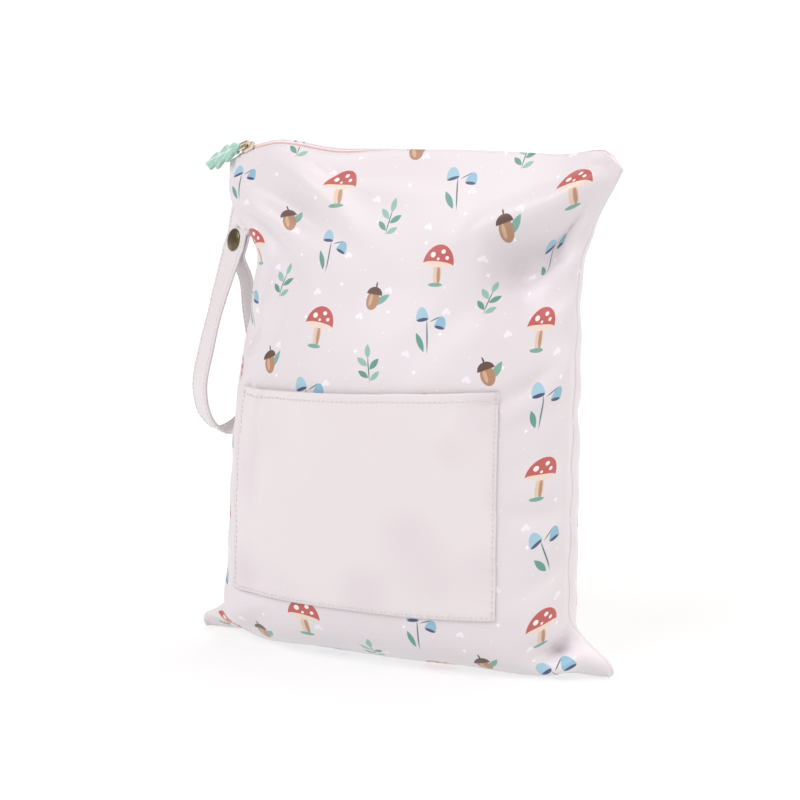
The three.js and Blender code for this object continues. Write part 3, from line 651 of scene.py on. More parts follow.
# %% Motifs of the print
MOTIF_PITCH = (42, 50)
MOTIF_SHIFT = 5
MOTIF_TURN = 0.6
MOTIF_SHAPES = [
    # motif, shape, x, z, half width, half height, turn, colour
    ("toadstool", "ellipse", 0.4, -7.6, 3.1, 8.5, 4, "#d9bfa9"),
    ("toadstool", "ellipse", 1.5, -8.5, 1.4, 6.8, 6, "#b08a72"),
    ("toadstool", "ellipse", 0, -15.3, 5.5, 1.5, 0, "#74a394"),
    ("toadstool", "dome", 0, -1.3, 11.6, 13.0, -4, "#b75a57"),
    ("toadstool", "ellipse", 0, -1.3, 11.3, 2.0, -4, "#e3cfbf"),
    ("toadstool", "ellipse", -4.6, 5.0, 2.0, 1.9, 0, "#efe6e4"),
    ("toadstool", "ellipse", 3.0, 7.0, 1.7, 1.5, 0, "#efe6e4"),
    ("toadstool", "ellipse", 6.3, 3.0, 1.4, 1.3, 0, "#efe6e4"),
    ("toadstool", "ellipse", -0.3, 2.3, 1.1, 1.0, 0, "#efe6e4"),
    ("bluebell", "ellipse", 0, -4, 0.6, 13.0, 8, "#4a6c72"),
    ("bluebell", "ellipse", 4.6, 7.8, 0.5, 5.0, -62, "#4a6c72"),
    ("bluebell", "leaf", -4.6, -8.4, 2.2, 7.4, 30, "#5f958b"),
    ("bluebell", "dome", -4.6, 6.4, 4.6, 9.0, 14, "#9cc0d0"),
    ("bluebell", "dome", 8.2, 2.0, 4.2, 8.0, -10, "#88b4c8"),
    ("bluebell", "ellipse", -4.6, 6.6, 4.4, 1.3, 14, "#414f73"),
    ("bluebell", "ellipse", 8.2, 2.2, 4.0, 1.2, -10, "#414f73"),
    ("sprig", "ellipse", 0, -1, 0.5, 10.5, 0, "#4b736a"),
    ("sprig", "leaf", -4.2, 3.6, 2.2, 5.0, 48, "#8bb5a8"),
    ("sprig", "leaf", 4.2, 1.2, 2.2, 5.0, -48, "#5f9285"),
    ("sprig", "leaf", -4.0, -4.6, 2.0, 4.6, 52, "#5f9285"),
    ("sprig", "leaf", 4.0, -6.6, 2.0, 4.6, -52, "#8bb5a8"),
    ("sprig", "leaf", 0, 10.0, 2.2, 5.0, 0, "#8bb5a8"),
    ("acorn", "leaf", 6.4, -1.0, 2.6, 7.2, -40, "#76a598"),
    ("acorn", "ellipse", 0, -3.4, 5.0, 7.0, 10, "#ab8266"),
    ("acorn", "ellipse", -1.6, -3.6, 1.4, 4.6, 10, "#c8a587"),
    ("acorn", "dome", -0.5, 0.4, 6.2, 5.6, 10, "#5f473f"),
    ("acorn", "ellipse", -1.6, 7.2, 0.7, 2.4, 16, "#4f3a35"),
]
MOTIF_ORDER = ["toadstool", "sprig", "bluebell", "acorn"]
SPECK_PITCH = (21, 17)
SPECK_SHIFT = 9
SPECK_SHAPES = [
    ("puff", "ellipse", -1.7, -0.4, 1.7, 1.5, 0, "#e7e3e9"),
    ("puff", "ellipse", 1.5, -0.5, 1.6, 1.4, 0, "#e7e3e9"),
    ("puff", "ellipse", 0.1, 1.0, 1.7, 1.7, 0, "#e7e3e9"),
    ("dot", "ellipse", 0, 0, 0.7, 0.7, 0, "#e7e3e9"),
    ("star", "star", 0, 0, 2.8, 2.8, 0, "#efebf0"),
]
SPECK_ORDER = ["dot", "star", "dot", "puff", "dot"]
print("print:", len(MOTIF_SHAPES), "shapes in", len(MOTIF_ORDER), "motifs")

# %% Print drawn with nodes
INK_EDGE = 0.35
SAME_MOTIF = 0.1
SHAPE_POWERS = {"ellipse": (2, 2), "dome": (2, 2), "leaf": (1, 2), "star": (0.5, 0.5)}
MATH = "ShaderNodeMath"
VECTOR = "ShaderNodeVectorMath"


def print_cells(tree, place, pitch, shift, turn, kinds):
    """Cuts the cloth into half-drop cells: the place inside a cell, and the motif it holds."""
    scaled = add_node(tree, VECTOR, {0: place, 1: (*pitch, 1)}, operation="DIVIDE")
    column = add_node(tree, "ShaderNodeSeparateXYZ", {0: scaled})
    column = add_node(tree, MATH, {0: column}, operation="FLOOR")
    odd = add_node(tree, MATH, {0: column, 1: 1.0}, operation="PINGPONG")
    drop = add_node(tree, MATH, {0: odd, 1: 0.5}, operation="MULTIPLY")
    dropped = add_node(tree, VECTOR, {0: scaled, 1: add_node(tree, "ShaderNodeCombineXYZ", {"Y": drop})},
                       operation="ADD")
    cell = add_node(tree, VECTOR, {0: dropped}, operation="FLOOR")
    inside = add_node(tree, VECTOR, {0: dropped}, operation="FRACTION")
    middle = (-pitch[0] / 2, -pitch[1] / 2, 0)
    inside = add_node(tree, VECTOR, {0: inside, 1: (*pitch, 0), 2: middle}, operation="MULTIPLY_ADD")
    chance = add_node(tree, "ShaderNodeTexWhiteNoise", {"Vector": cell}, noise_dimensions="2D")
    centred = add_node(tree, VECTOR, {0: chance.outputs["Color"], 1: (0.5, 0.5, 0.5)}, operation="SUBTRACT")
    shifted = add_node(tree, VECTOR, {0: centred, 1: (shift, shift, 0), 2: inside},
                       operation="MULTIPLY_ADD")
    angle = add_node(tree, MATH, {0: chance.outputs["Value"], 1: turn, 2: -turn / 2},
                     operation="MULTIPLY_ADD")
    turned = add_node(tree, "ShaderNodeVectorRotate", {"Vector": shifted, "Angle": angle},
                      rotation_type="Z_AXIS")
    number = add_node(tree, VECTOR, {0: cell, 1: (1, 2, 0)}, operation="DOT_PRODUCT").outputs["Value"]
    return turned, add_node(tree, MATH, {0: number, 1: float(kinds)}, operation="FLOORED_MODULO")


def draw_shapes(tree, colour, place, kind, shapes, order):
    """Lays the shapes of every motif over a colour, each only in the cells that hold its motif."""
    here = {}
    for number, motif in enumerate(order):
        hit = add_node(tree, MATH, {0: kind, 1: float(number), 2: SAME_MOTIF}, operation="COMPARE")
        earlier = here.get(motif, 0.0)
        here[motif] = add_node(tree, MATH, {0: hit, 1: earlier}, operation="MAXIMUM")
    for motif, shape, x, z, half_width, half_height, turn, ink in shapes:
        local = add_node(tree, "ShaderNodeMapping", {
            "Vector": place,
            "Location": (x, z, 0),
            "Rotation": (0, 0, math.radians(turn)),
            "Scale": (half_width, half_height, 1),
        }, vector_type="TEXTURE")
        folded = add_node(tree, VECTOR, {0: local}, operation="ABSOLUTE")
        axes = add_node(tree, "ShaderNodeSeparateXYZ", {0: folded})
        power_x, power_z = SHAPE_POWERS[shape]
        reach_x = add_node(tree, MATH, {0: axes.outputs["X"], 1: power_x}, operation="POWER")
        reach_z = add_node(tree, MATH, {0: axes.outputs["Y"], 1: power_z}, operation="POWER")
        reach = add_node(tree, MATH, {0: reach_x, 1: reach_z}, operation="ADD")
        if shape == "dome":
            height = add_node(tree, "ShaderNodeSeparateXYZ", {0: local}).outputs["Y"]
            below = add_node(tree, MATH, {0: 1.0, 1: height}, operation="SUBTRACT")
            reach = add_node(tree, MATH, {0: reach, 1: below}, operation="MAXIMUM")
        soft = INK_EDGE / min(half_width, half_height)
        cover = add_node(tree, "ShaderNodeMapRange",
                         {"Value": reach, "From Min": 1.0, "From Max": 1 - soft})
        cover = add_node(tree, MATH, {0: cover, 1: here[motif]}, operation="MULTIPLY")
        colour = add_node(tree, "ShaderNodeMix", {"Factor": cover, "A": colour, "B": linear(ink)},
                          data_type="RGBA").outputs["Result"]
    return colour


# %% [markdown]
# The cloth itself has a soft satin face. Its threads are far below a pixel here, so the weave is
# drawn about four times as coarse as it is, just enough to break up the highlights. A slow, faint
# change of tone keeps large plain areas from looking like paint.

# %% Face of the cloth
CLOTH_MAP_SIZE = 400
WEAVE_PITCH = 1.3
WEAVE_BUMP = 0.05
TONE_SIZE = 70
# The width of one band of a wave texture at a scale of one.
WAVE_PERIOD = 2 * math.pi / 20


def cloth_place(tree):
    """The place on the flat cut, in millimetres, from the piece's own map."""
    cloth_map = add_node(tree, "ShaderNodeUVMap", uv_map="cloth")
    return add_node(tree, VECTOR, {0: cloth_map, 1: (CLOTH_MAP_SIZE,) * 3}, operation="MULTIPLY")


def toned(tree, place, light, deep):
    """A slow, faint drift between two tones."""
    drift = add_node(tree, "ShaderNodeTexNoise", {"Vector": place, "Scale": 1 / TONE_SIZE, "Detail": 2.0})
    return add_node(tree, "ShaderNodeMix", {"Factor": drift, "A": linear(light), "B": linear(deep)},
                    data_type="RGBA").outputs["Result"]


def satin_face(tree, shader, place, roughness):
    """The gloss and the weave that all the bag's cloth shares."""
    threads = [
        add_node(tree, "ShaderNodeTexWave", {"Vector": place, "Scale": WAVE_PERIOD / WEAVE_PITCH},
                 bands_direction=axis).outputs["Fac"]
        for axis in "XY"
    ]
    weave = add_node(tree, MATH, {0: threads[0], 1: threads[1]}, operation="MAXIMUM")
    bump = add_node(tree, "ShaderNodeBump", {"Height": weave, "Strength": WEAVE_BUMP, "Distance": 0.2 * MM})
    tree.links.new(bump.outputs[0], shader.inputs["Normal"])
    shader.inputs["Roughness"].default_value = roughness
    shader.inputs["Sheen Weight"].default_value = 0.2
    shader.inputs["Sheen Roughness"].default_value = 0.4


print("weave drawn at", WEAVE_PITCH, "mm")

# %% Printed cloth
GROUND_TONES = ("#ddd8db", "#d6cfd3")
PRINTED_ROUGHNESS = 0.46

# Coated knitted polyester, printed: satin, so dents show as slow bands of light, with matt inks.
printed_cloth, tree, shader = new_material("printed_coated_polyester")
place = cloth_place(tree)
colour = toned(tree, place, *GROUND_TONES)
spot, kind = print_cells(tree, place, SPECK_PITCH, SPECK_SHIFT, MOTIF_TURN, len(SPECK_ORDER))
colour = draw_shapes(tree, colour, spot, kind, SPECK_SHAPES, SPECK_ORDER)
spot, kind = print_cells(tree, place, MOTIF_PITCH, MOTIF_SHIFT, MOTIF_TURN, len(MOTIF_ORDER))
colour = draw_shapes(tree, colour, spot, kind, MOTIF_SHAPES, MOTIF_ORDER)
tree.links.new(colour, shader.inputs["Base Color"])
satin_face(tree, shader, place, PRINTED_ROUGHNESS)
print(printed_cloth.name, "nodes", len(tree.nodes))

# %% Plain cloth
PLAIN_TONES = ("#dfd9db", "#d9d2d4")
PLAIN_ROUGHNESS = 0.42
SHOW_PITCH = 44
SHOW_STRENGTH = 0.22
SHOW_EDGE = (0.1, 0.42)
SHOW_COLOUR = "#b9a8b4"


def plain_finish(name, tones, roughness):
    """A cloth without print, in two near tones."""
    material, tree, shader = new_material(name)
    place = cloth_place(tree)
    tree.links.new(toned(tree, place, *tones), shader.inputs["Base Color"])
    satin_face(tree, shader, place, roughness)
    return material


# Coated knitted polyester, plain: the same face, a little smoother, for the pocket and the strap.
plain_cloth = plain_finish("plain_coated_polyester", PLAIN_TONES, PLAIN_ROUGHNESS)

# The same plain cloth laid over the print, which shows through it as faint soft spots.
pocket_cloth, tree, shader = new_material("plain_coated_polyester_over_print")
place = cloth_place(tree)
spots = add_node(tree, "ShaderNodeTexVoronoi",
                 {"Vector": place, "Scale": 1 / SHOW_PITCH, "Randomness": 0.8}, feature="SMOOTH_F1")
shade = add_node(tree, "ShaderNodeMapRange", {
    "Value": spots.outputs["Distance"], "From Min": SHOW_EDGE[0], "From Max": SHOW_EDGE[1],
    "To Min": SHOW_STRENGTH, "To Max": 0.0,
})
colour = add_node(tree, "ShaderNodeMix", {
    "Factor": shade, "A": toned(tree, place, *PLAIN_TONES), "B": linear(SHOW_COLOUR),
}, data_type="RGBA").outputs["Result"]
tree.links.new(colour, shader.inputs["Base Color"])
satin_face(tree, shader, place, PLAIN_ROUGHNESS)
print("finishes", plain_cloth.name, pocket_cloth.name)

# %% [markdown]
# A panel is the grid of its inner face. A subdivision rounds the 4 mm cells, and Solidify gives the
# cloth its thickness on the outside, as the solid model does. The wall thins towards the side seams,
# where both edges are pressed into one fine line. The flat place of every point is kept as the map
# that the print and the weave read.

# %% Panels
def grid_quads(rows, columns, side):
    """The faces of a grid of points, facing outwards on the given side."""
    i = np.arange(rows * columns).reshape(rows, columns)
    quads = np.stack([i[:-1, :-1], i[:-1, 1:], i[1:, 1:], i[1:, :-1]], -1).reshape(-1, 4)
    return quads if side == FRONT else quads[:, ::-1]


def lay_map(piece, flat):
    """Keeps the flat place of every point, in millimetres, as the piece's map."""
    corners = np.empty(len(piece.data.loops), int)
    piece.data.loops.foreach_get("vertex_index", corners)
    layer = piece.data.uv_layers.new(name="cloth")
    layer.data.foreach_set("uv", (flat / CLOTH_MAP_SIZE)[corners].astype(np.float32).ravel())


def cloth_piece(name, grid, flat, finish, side, wall, thickness=None, level=1):
    """A sheet of cloth from a grid in millimetres, with its wall on the outside."""
    piece = new_piece(name, grid.reshape(-1, 3) * MM, grid_quads(*grid.shape[:2], side), finish)
    lay_map(piece, flat.reshape(-1, 2))
    rounder = piece.modifiers.new("round", "SUBSURF")
    rounder.levels = rounder.render_levels = level
    rounder.boundary_smooth = "PRESERVE_CORNERS"
    thick = piece.modifiers.new("thick", "SOLIDIFY")
    thick.thickness = wall * MM
    thick.offset = 1
    thick.use_even_offset = False
    if thickness is not None:
        group = piece.vertex_groups.new(name="wall")
        for point, share in enumerate(thickness.ravel()):
            group.add([point], float(share), "REPLACE")
        thick.vertex_group = "wall"
    return piece


SEAM_THIN = 0.15
SEAM_THIN_REACH = 0.06
panel_flat = np.stack(np.meshgrid(ACROSS * PANEL_WIDTH / 2 + PANEL_WIDTH / 2, SHARE * PANEL_HEIGHT), -1)
thickness = SEAM_THIN + (1 - SEAM_THIN) * ease(0, SEAM_THIN_REACH, 1 - np.abs(ACROSS))
thickness = np.tile(thickness, (ROWS + 1, 1))
for side, name in ((FRONT, "front_panel"), (BACK, "back_panel")):
    panel = cloth_piece(name + "_cloth", faces_of[side], panel_flat, printed_cloth, side, WALL, thickness)
    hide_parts(name)
    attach(panel, "bag")
    print(panel.name, "cells", len(panel.data.polygons))

# %% [markdown]
# The patch pocket lies on the front panel, so its points are read from the panel's own outer face
# and lifted by a hair. Its mouth gapes a little, the hem is a doubled band, and at the left, where
# the pocket bends round the side, the cloth ripples under the hem and gathers at each stitch.

# %% Where the pocket lies
POCKET_LEFT = -105
POCKET_RIGHT = 91
POCKET_BOTTOM = 86
POCKET_TOP_LEFT = 226
POCKET_TOP_RIGHT = 239
POCKET_COLUMNS = 224
POCKET_ROWS = 110


def pocket_top(x):
    """The height of the pocket's mouth on the flat panel, a little higher on the right."""
    return np.interp(x, (POCKET_LEFT, POCKET_RIGHT), (POCKET_TOP_LEFT, POCKET_TOP_RIGHT))


def curve_shares(t):
    """The shares of four neighbours in a smooth curve, at a place between the middle two."""
    return ((-t ** 3 + 2 * t ** 2 - t) / 2, (3 * t ** 3 - 5 * t ** 2 + 2) / 2,
            (-3 * t ** 3 + 4 * t ** 2 + t) / 2, (t ** 3 - t ** 2) / 2)


def on_grid(grid, across, share):
    """Places on a panel's grid, smoothly between its rows and columns."""
    row, column = share * ROWS, (across + 1) / 2 * COLUMNS
    r, c = row.astype(int), column.astype(int)
    place = np.zeros(share.shape + (3,))
    for down, row_share in enumerate(curve_shares(row - r)):
        for right, column_share in enumerate(curve_shares(column - c)):
            place += (row_share * column_share)[..., None] * grid[r + down - 1, c + right - 1]
    return place


front_outer = faces_of[FRONT] + WALL * grid_normals(faces_of[FRONT], FRONT)
pocket_x = np.linspace(POCKET_LEFT, POCKET_RIGHT, POCKET_COLUMNS + 1)
flat_x, pocket_up = np.meshgrid(pocket_x, np.linspace(0, 1, POCKET_ROWS + 1))
flat_z = POCKET_BOTTOM + (pocket_top(flat_x) - POCKET_BOTTOM) * pocket_up
pocket_seat = on_grid(front_outer, flat_x / (PANEL_WIDTH / 2), flat_z / PANEL_HEIGHT)
pocket_out = grid_normals(pocket_seat, FRONT)
print("pocket grid", pocket_seat.shape)

# %% Patch pocket
POCKET_WALL = 0.6
POCKET_GAP = 0.35
POCKET_MOUTH_GAP = 2.2
POCKET_MOUTH_REACH = 60
HEM_DEPTH = 6.6
HEM_STEP = 1.2
HEM_LIFT = 0.6
HEM_SEAM = 5.6
SEAM_INSET = 2.2
GROOVE_DEPTH = 0.25
HEM_GROOVE_DEPTH = 0.45
GROOVE_WIDTH = 1.6
QUILT_DEPTH = 0.16
QUILT_PITCH = 7
QUILT_REACH = 5
RIPPLE_DEPTH = 0.5
RIPPLE_PITCH = 11
RIPPLE_REACH = 16
RIPPLE_WIDTH = 45
GATHER_DEPTH = 0.22
GATHER_PITCH = 3.4
GATHER_REACH = 5
GATHER_WIDTH = 70

from_mouth = pocket_top(flat_x) - flat_z
from_left, from_right, from_bottom = flat_x - POCKET_LEFT, POCKET_RIGHT - flat_x, flat_z - POCKET_BOTTOM
middle_share = 2 * from_left / (POCKET_RIGHT - POCKET_LEFT) - 1
mouth = (1 - middle_share ** 4) * np.exp(-from_mouth / POCKET_MOUTH_REACH)
hem = HEM_LIFT * (1 - ease(HEM_DEPTH, HEM_DEPTH + HEM_STEP, from_mouth))
ripple = np.sin(2 * math.pi * from_left / RIPPLE_PITCH)
ripple = ripple * np.exp(-np.maximum(0, from_mouth - HEM_DEPTH) / RIPPLE_REACH)
ripple = RIPPLE_DEPTH * (1 + ripple) * np.exp(-(from_left / RIPPLE_WIDTH) ** 2)
gather = np.sin(2 * math.pi * from_left / GATHER_PITCH)
gather = gather * np.exp(-np.abs(from_mouth - HEM_SEAM) / GATHER_REACH)
gather = GATHER_DEPTH * gather * np.exp(-(from_left / GATHER_WIDTH) ** 2)
lift = POCKET_GAP + POCKET_MOUTH_GAP * mouth + hem + ripple + gather
# The seams pull the cloth down into a fine groove, and it swells a little between the stitches.
for from_edge, run in ((from_left, flat_z), (from_right, flat_z), (from_bottom, flat_x)):
    groove = np.exp(-((from_edge - SEAM_INSET) / GROOVE_WIDTH) ** 2)
    swell = 1 + np.sin(2 * math.pi * run / QUILT_PITCH)
    swell = swell * np.exp(-np.abs(from_edge - SEAM_INSET) / QUILT_REACH)
    lift += QUILT_DEPTH * swell - GROOVE_DEPTH * groove
lift -= HEM_GROOVE_DEPTH * np.exp(-((from_mouth - HEM_SEAM) / GROOVE_WIDTH) ** 2)
pocket_grid = pocket_seat + pocket_out * np.maximum(lift, POCKET_GAP / 4)[..., None]
pocket_flat = np.stack([from_left, flat_z], -1)
pocket = cloth_piece("pocket_cloth", pocket_grid, pocket_flat, pocket_cloth, FRONT, POCKET_WALL, level=0)
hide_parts("front_pocket")
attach(pocket, "bag")
print("pocket cells", len(pocket.data.polygons))

# %% [markdown]
# The wrist strap is a flat tube of the same cloth, sewn along both edges. Its middle line and the
# direction of its width are the rows of the solid model, joined by a smooth curve through them.
# The section is swept along that curve: thinner at the two seams, fuller between them.

# %% Middle line of the strap
STRAP_WALL = 2.0
STRAP_LAYER_GAP = 0.4
SAME_PLACE = 1e-4
TANGENT_STEP = 0.001
STRAP_TOP_WIDTH = (-0.86, 0.51, 0.00)
STRAP_TURN_WIDTH = (-0.78, 0.62, 0.00)
STRAP_ROWS = np.array([
    (-119.6, 7.2, 274.2, -0.60, 0.00, 0.80),
    (-123.0, 8.6, 271.6, -0.74, 0.42, 0.50),
    (-124.6, 9.6, 268.2, *STRAP_TOP_WIDTH),
    (-126.5, 9.0, 260.8, *STRAP_TOP_WIDTH),
    (-128.8, 8.2, 252.5, *STRAP_TOP_WIDTH),
    (-137.4, 4.2, 221.0, *STRAP_TURN_WIDTH),
    (-145.6, 1.6, 188.0, *STRAP_TURN_WIDTH),
    (-150.6, 1.0, 162.0, *STRAP_TURN_WIDTH),
    (-148.0, 4.6, 142.0, *STRAP_TURN_WIDTH),
    (-141.0, 13.4, 132.0, *STRAP_TURN_WIDTH),
    (-131.6, 24.0, 138.0, *STRAP_TURN_WIDTH),
    (-124.8, 30.0, 157.0, *STRAP_TURN_WIDTH),
    (-124.2, 30.0, 182.0, *STRAP_TURN_WIDTH),
    (-125.8, 26.0, 210.0, *STRAP_TURN_WIDTH),
    (-125.2, 18.6, 236.0, *STRAP_TURN_WIDTH),
])
SNAP_END_ROWS = (4, 3, 2.2)


def curve_at(points, place):
    """A smooth curve through points, with its knots spaced by the root of the distances."""
    points = np.vstack([2 * points[0] - points[1], points, 2 * points[-1] - points[-2]])
    i = min(int(place), len(points) - 4)
    t = place - i
    p = points[i:i + 4]
    gaps = np.sqrt(np.linalg.norm(np.diff(p, axis=0), axis=1))
    if gaps[1] < SAME_PLACE:
        gaps[1] = 1.0
    gaps[gaps < SAME_PLACE] = gaps[1]
    start = (p[1] - p[0]) / gaps[0] - (p[2] - p[0]) / (gaps[0] + gaps[1]) + (p[2] - p[1]) / gaps[1]
    end = (p[2] - p[1]) / gaps[1] - (p[3] - p[1]) / (gaps[1] + gaps[2]) + (p[3] - p[2]) / gaps[2]
    start, end = start * gaps[1], end * gaps[1]
    change = p[2] - p[1]
    return (p[1] + start * t + (3 * change - 2 * start - end) * t ** 2
            + (start + end - 2 * change) * t ** 3)


def unit(vector):
    """A vector of length one."""
    return vector / np.linalg.norm(vector, axis=-1, keepdims=True)


def strap_frame(rows, place):
    """The strap's place, length direction, width direction and face direction."""
    low, high = max(0, place - TANGENT_STEP), min(len(rows) - 1, place + TANGENT_STEP)
    along = unit(curve_at(rows[:, :3], high) - curve_at(rows[:, :3], low))
    beside = unit(curve_at(rows[:, 3:], place))
    return curve_at(rows[:, :3], place), along, beside, unit(np.cross(along, beside))


strap_rows = STRAP_ROWS.copy()
strap_rows[:, 3:] = unit(strap_rows[:, 3:])
loop_rows = strap_rows
for end_row in SNAP_END_ROWS:
    at, along, beside, above = strap_frame(loop_rows, end_row)
    strap_rows = np.vstack([strap_rows, [*(at + above * (STRAP_WALL + STRAP_LAYER_GAP)), *beside]])
print("strap rows", len(strap_rows))

# %% Wrist strap
STRAP_WIDTH = 25
STRAP_STEPS = 260
STRAP_SECTION = table(
    "across half",
    (-1.00, 0.35), (-0.97, 0.80), (-0.88, 0.95), (-0.80, 0.78), (-0.70, 0.95), (-0.40, 1.05),
    (0.40, 1.05), (0.70, 0.95), (0.80, 0.78), (0.88, 0.95), (0.97, 0.80), (1.00, 0.35),
)


def run_along(points):
    """The distance along a line of points, from its first one."""
    return np.concatenate([[0], np.cumsum(np.linalg.norm(np.diff(points, axis=0), axis=1))])


def tube_faces(sections, points):
    """The side faces of a tube whose sections have the same number of points."""
    i = np.arange((sections - 1) * points).reshape(sections - 1, points)
    j = np.roll(i, -1, axis=1)
    return np.stack([i, j, j + points, i + points], -1).reshape(-1, 4)


strap_places = np.linspace(0, len(strap_rows) - 1, STRAP_STEPS + 1)
strap_frames = [strap_frame(strap_rows, place) for place in strap_places]
strap_at, _, strap_beside, strap_above = (np.array(part) for part in zip(*strap_frames))
strap_run = run_along(strap_at)
section_x = np.concatenate([STRAP_SECTION["across"], STRAP_SECTION["across"][::-1]]) * STRAP_WIDTH / 2
section_y = np.concatenate([-STRAP_SECTION["half"], STRAP_SECTION["half"][::-1]])
ring = len(section_x)
strap_points = (strap_at[:, None] + section_x[:, None] * strap_beside[:, None]
                + section_y[:, None] * strap_above[:, None])
strap_faces = tube_faces(STRAP_STEPS + 1, ring).tolist()
strap_faces.append(list(range(ring))[::-1])
strap_faces.append(list(range(STRAP_STEPS * ring, (STRAP_STEPS + 1) * ring)))
strap = new_piece("strap_cloth", strap_points.reshape(-1, 3) * MM, strap_faces, plain_cloth)
lay_map(strap, np.stack([np.tile(section_x, STRAP_STEPS + 1), np.repeat(strap_run, ring)], -1))
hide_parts("wrist_strap")
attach(strap, "bag")
print("strap length", strap_run[-1].round(1), "mm")

# %% [markdown]
# Stitches and the zip's coil are the same idea: small rounded pieces set along a line. Geometry
# Nodes do that. The line is a row of points that each carry the direction across the line. The
# tree spaces the line evenly, sets an ellipsoid on every point, turns it along and across, and
# ends in real geometry with its material, ready to be kept as a plain mesh.

# %% Pieces along a line
def line_tree():
    """The node tree that sets small rounded pieces along lines."""
    tree = bpy.data.node_groups.new("pieces_along_lines", "GeometryNodeTree")
    inputs = {}
    kinds = {"Lines": "Geometry", "Spacing": "Float", "Size": "Vector", "Finish": "Material"}
    for name, kind in kinds.items():
        inputs[name] = tree.interface.new_socket(name=name, in_out="INPUT", socket_type="NodeSocket" + kind)
    tree.interface.new_socket(name="Pieces", in_out="OUTPUT", socket_type="NodeSocketGeometry")
    given = add_node(tree, "NodeGroupInput").outputs
    curve = add_node(tree, "GeometryNodeMeshToCurve", {"Mesh": given["Lines"]})
    even = add_node(tree, "GeometryNodeResampleCurve", {"Curve": curve, "Length": given["Spacing"]},
                    mode="LENGTH")
    across = add_node(tree, "GeometryNodeInputNamedAttribute", {"Name": "across"}, data_type="FLOAT_VECTOR")
    turn = add_node(tree, "FunctionNodeAlignRotationToVector",
                    {"Vector": add_node(tree, "GeometryNodeInputTangent")}, axis="X")
    turn = add_node(tree, "FunctionNodeAlignRotationToVector", {"Rotation": turn, "Vector": across},
                    axis="Y", pivot_axis="X")
    bead = add_node(tree, "GeometryNodeMeshUVSphere", {"Segments": 8, "Rings": 5, "Radius": 0.5})
    bead = add_node(tree, "GeometryNodeSetShadeSmooth", {"Geometry": bead})
    beads = add_node(tree, "GeometryNodeInstanceOnPoints",
                     {"Points": even, "Instance": bead, "Rotation": turn, "Scale": given["Size"]})
    real = add_node(tree, "GeometryNodeRealizeInstances", {"Geometry": beads})
    finished = add_node(tree, "GeometryNodeSetMaterial", {"Geometry": real, "Material": given["Finish"]})
    add_node(tree, "NodeGroupOutput", {"Pieces": finished})
    return tree, {name: socket.identifier for name, socket in inputs.items()}


LINE_TREE, LINE_INPUTS = line_tree()


def pieces_along(name, lines, spacing, size, finish):
    """Small pieces along lines; a line is its points and the directions across it, in millimetres."""
    points = np.concatenate([points for points, across in lines]) * MM
    across = np.concatenate([across for points, across in lines])
    edges, first = [], 0
    for line, _ in lines:
        edges += [(first + i, first + i + 1) for i in range(len(line) - 1)]
        first += len(line)
    piece = new_piece(name, points, [], edges=edges)
    layer = piece.data.attributes.new("across", "FLOAT_VECTOR", "POINT")
    layer.data.foreach_set("vector", across.astype(np.float32).ravel())
    modifier = piece.modifiers.new("pieces", "NODES")
    modifier.node_group = LINE_TREE
    modifier[LINE_INPUTS["Spacing"]] = spacing * MM
    modifier[LINE_INPUTS["Size"]] = [s * MM for s in size]
    modifier[LINE_INPUTS["Finish"]] = finish
    made = bpy.data.meshes.new_from_object(piece.evaluated_get(bpy.context.evaluated_depsgraph_get()))
    piece.modifiers.clear()
    piece.data = made
    print(name, "polygons", len(made.polygons))
    return piece


# %% [markdown]
# The pocket is sewn down with a straight seam just inside its sides and bottom, and a second one
# holds the hem. The strap has a seam along each edge, on both faces. The thread is a twisted
# polyester, a touch deeper than the cloth, so the stitches show as a fine dashed line.

# %% Stitches
STITCH_SPACING = 3.4
STITCH_SIZE = (2.6, 0.8, 0.6)
STRAP_SEAM_SHARE = 0.80
SEAM_SAMPLES = 160


def mottled(name, light, deep, patch, detail=2.0):
    """A finish in two tones, in patches of a size in millimetres that its gloss may follow."""
    material, tree, shader = new_material(name)
    own_place = add_node(tree, "ShaderNodeTexCoord").outputs["Object"]
    patches = add_node(tree, "ShaderNodeTexNoise",
                       {"Vector": own_place, "Scale": 1 / (patch * MM), "Detail": detail})
    mix = add_node(tree, "ShaderNodeMix", {"Factor": patches, "A": linear(light), "B": linear(deep)},
                   data_type="RGBA")
    tree.links.new(mix.outputs["Result"], shader.inputs["Base Color"])
    return material, tree, shader, patches


# Spun polyester thread: matt and slightly fuzzy, with a faint twist of tone along it.
thread, _, shader, _ = mottled("spun_polyester_thread", "#dfd7d5", "#cdc3c1", 1.5)
shader.inputs["Roughness"].default_value = 0.75

pocket_outer = pocket_grid + (POCKET_WALL + STITCH_SIZE[2] / 4) * grid_normals(pocket_grid, FRONT)


def pocket_line(x, z):
    """A seam on the pocket's outer face, from places on the flat panel."""
    row = (z - POCKET_BOTTOM) / (pocket_top(x) - POCKET_BOTTOM) * POCKET_ROWS
    column = (x - POCKET_LEFT) / (POCKET_RIGHT - POCKET_LEFT) * POCKET_COLUMNS
    r = np.minimum(row.astype(int), POCKET_ROWS - 1)
    c = np.minimum(column.astype(int), POCKET_COLUMNS - 1)
    up, right = (row - r)[:, None], (column - c)[:, None]
    low = pocket_outer[r, c] * (1 - right) + pocket_outer[r, c + 1] * right
    high = pocket_outer[r + 1, c] * (1 - right) + pocket_outer[r + 1, c + 1] * right
    points = low * (1 - up) + high * up
    return points, unit(np.cross(pocket_out[r, c], np.gradient(points, axis=0)))


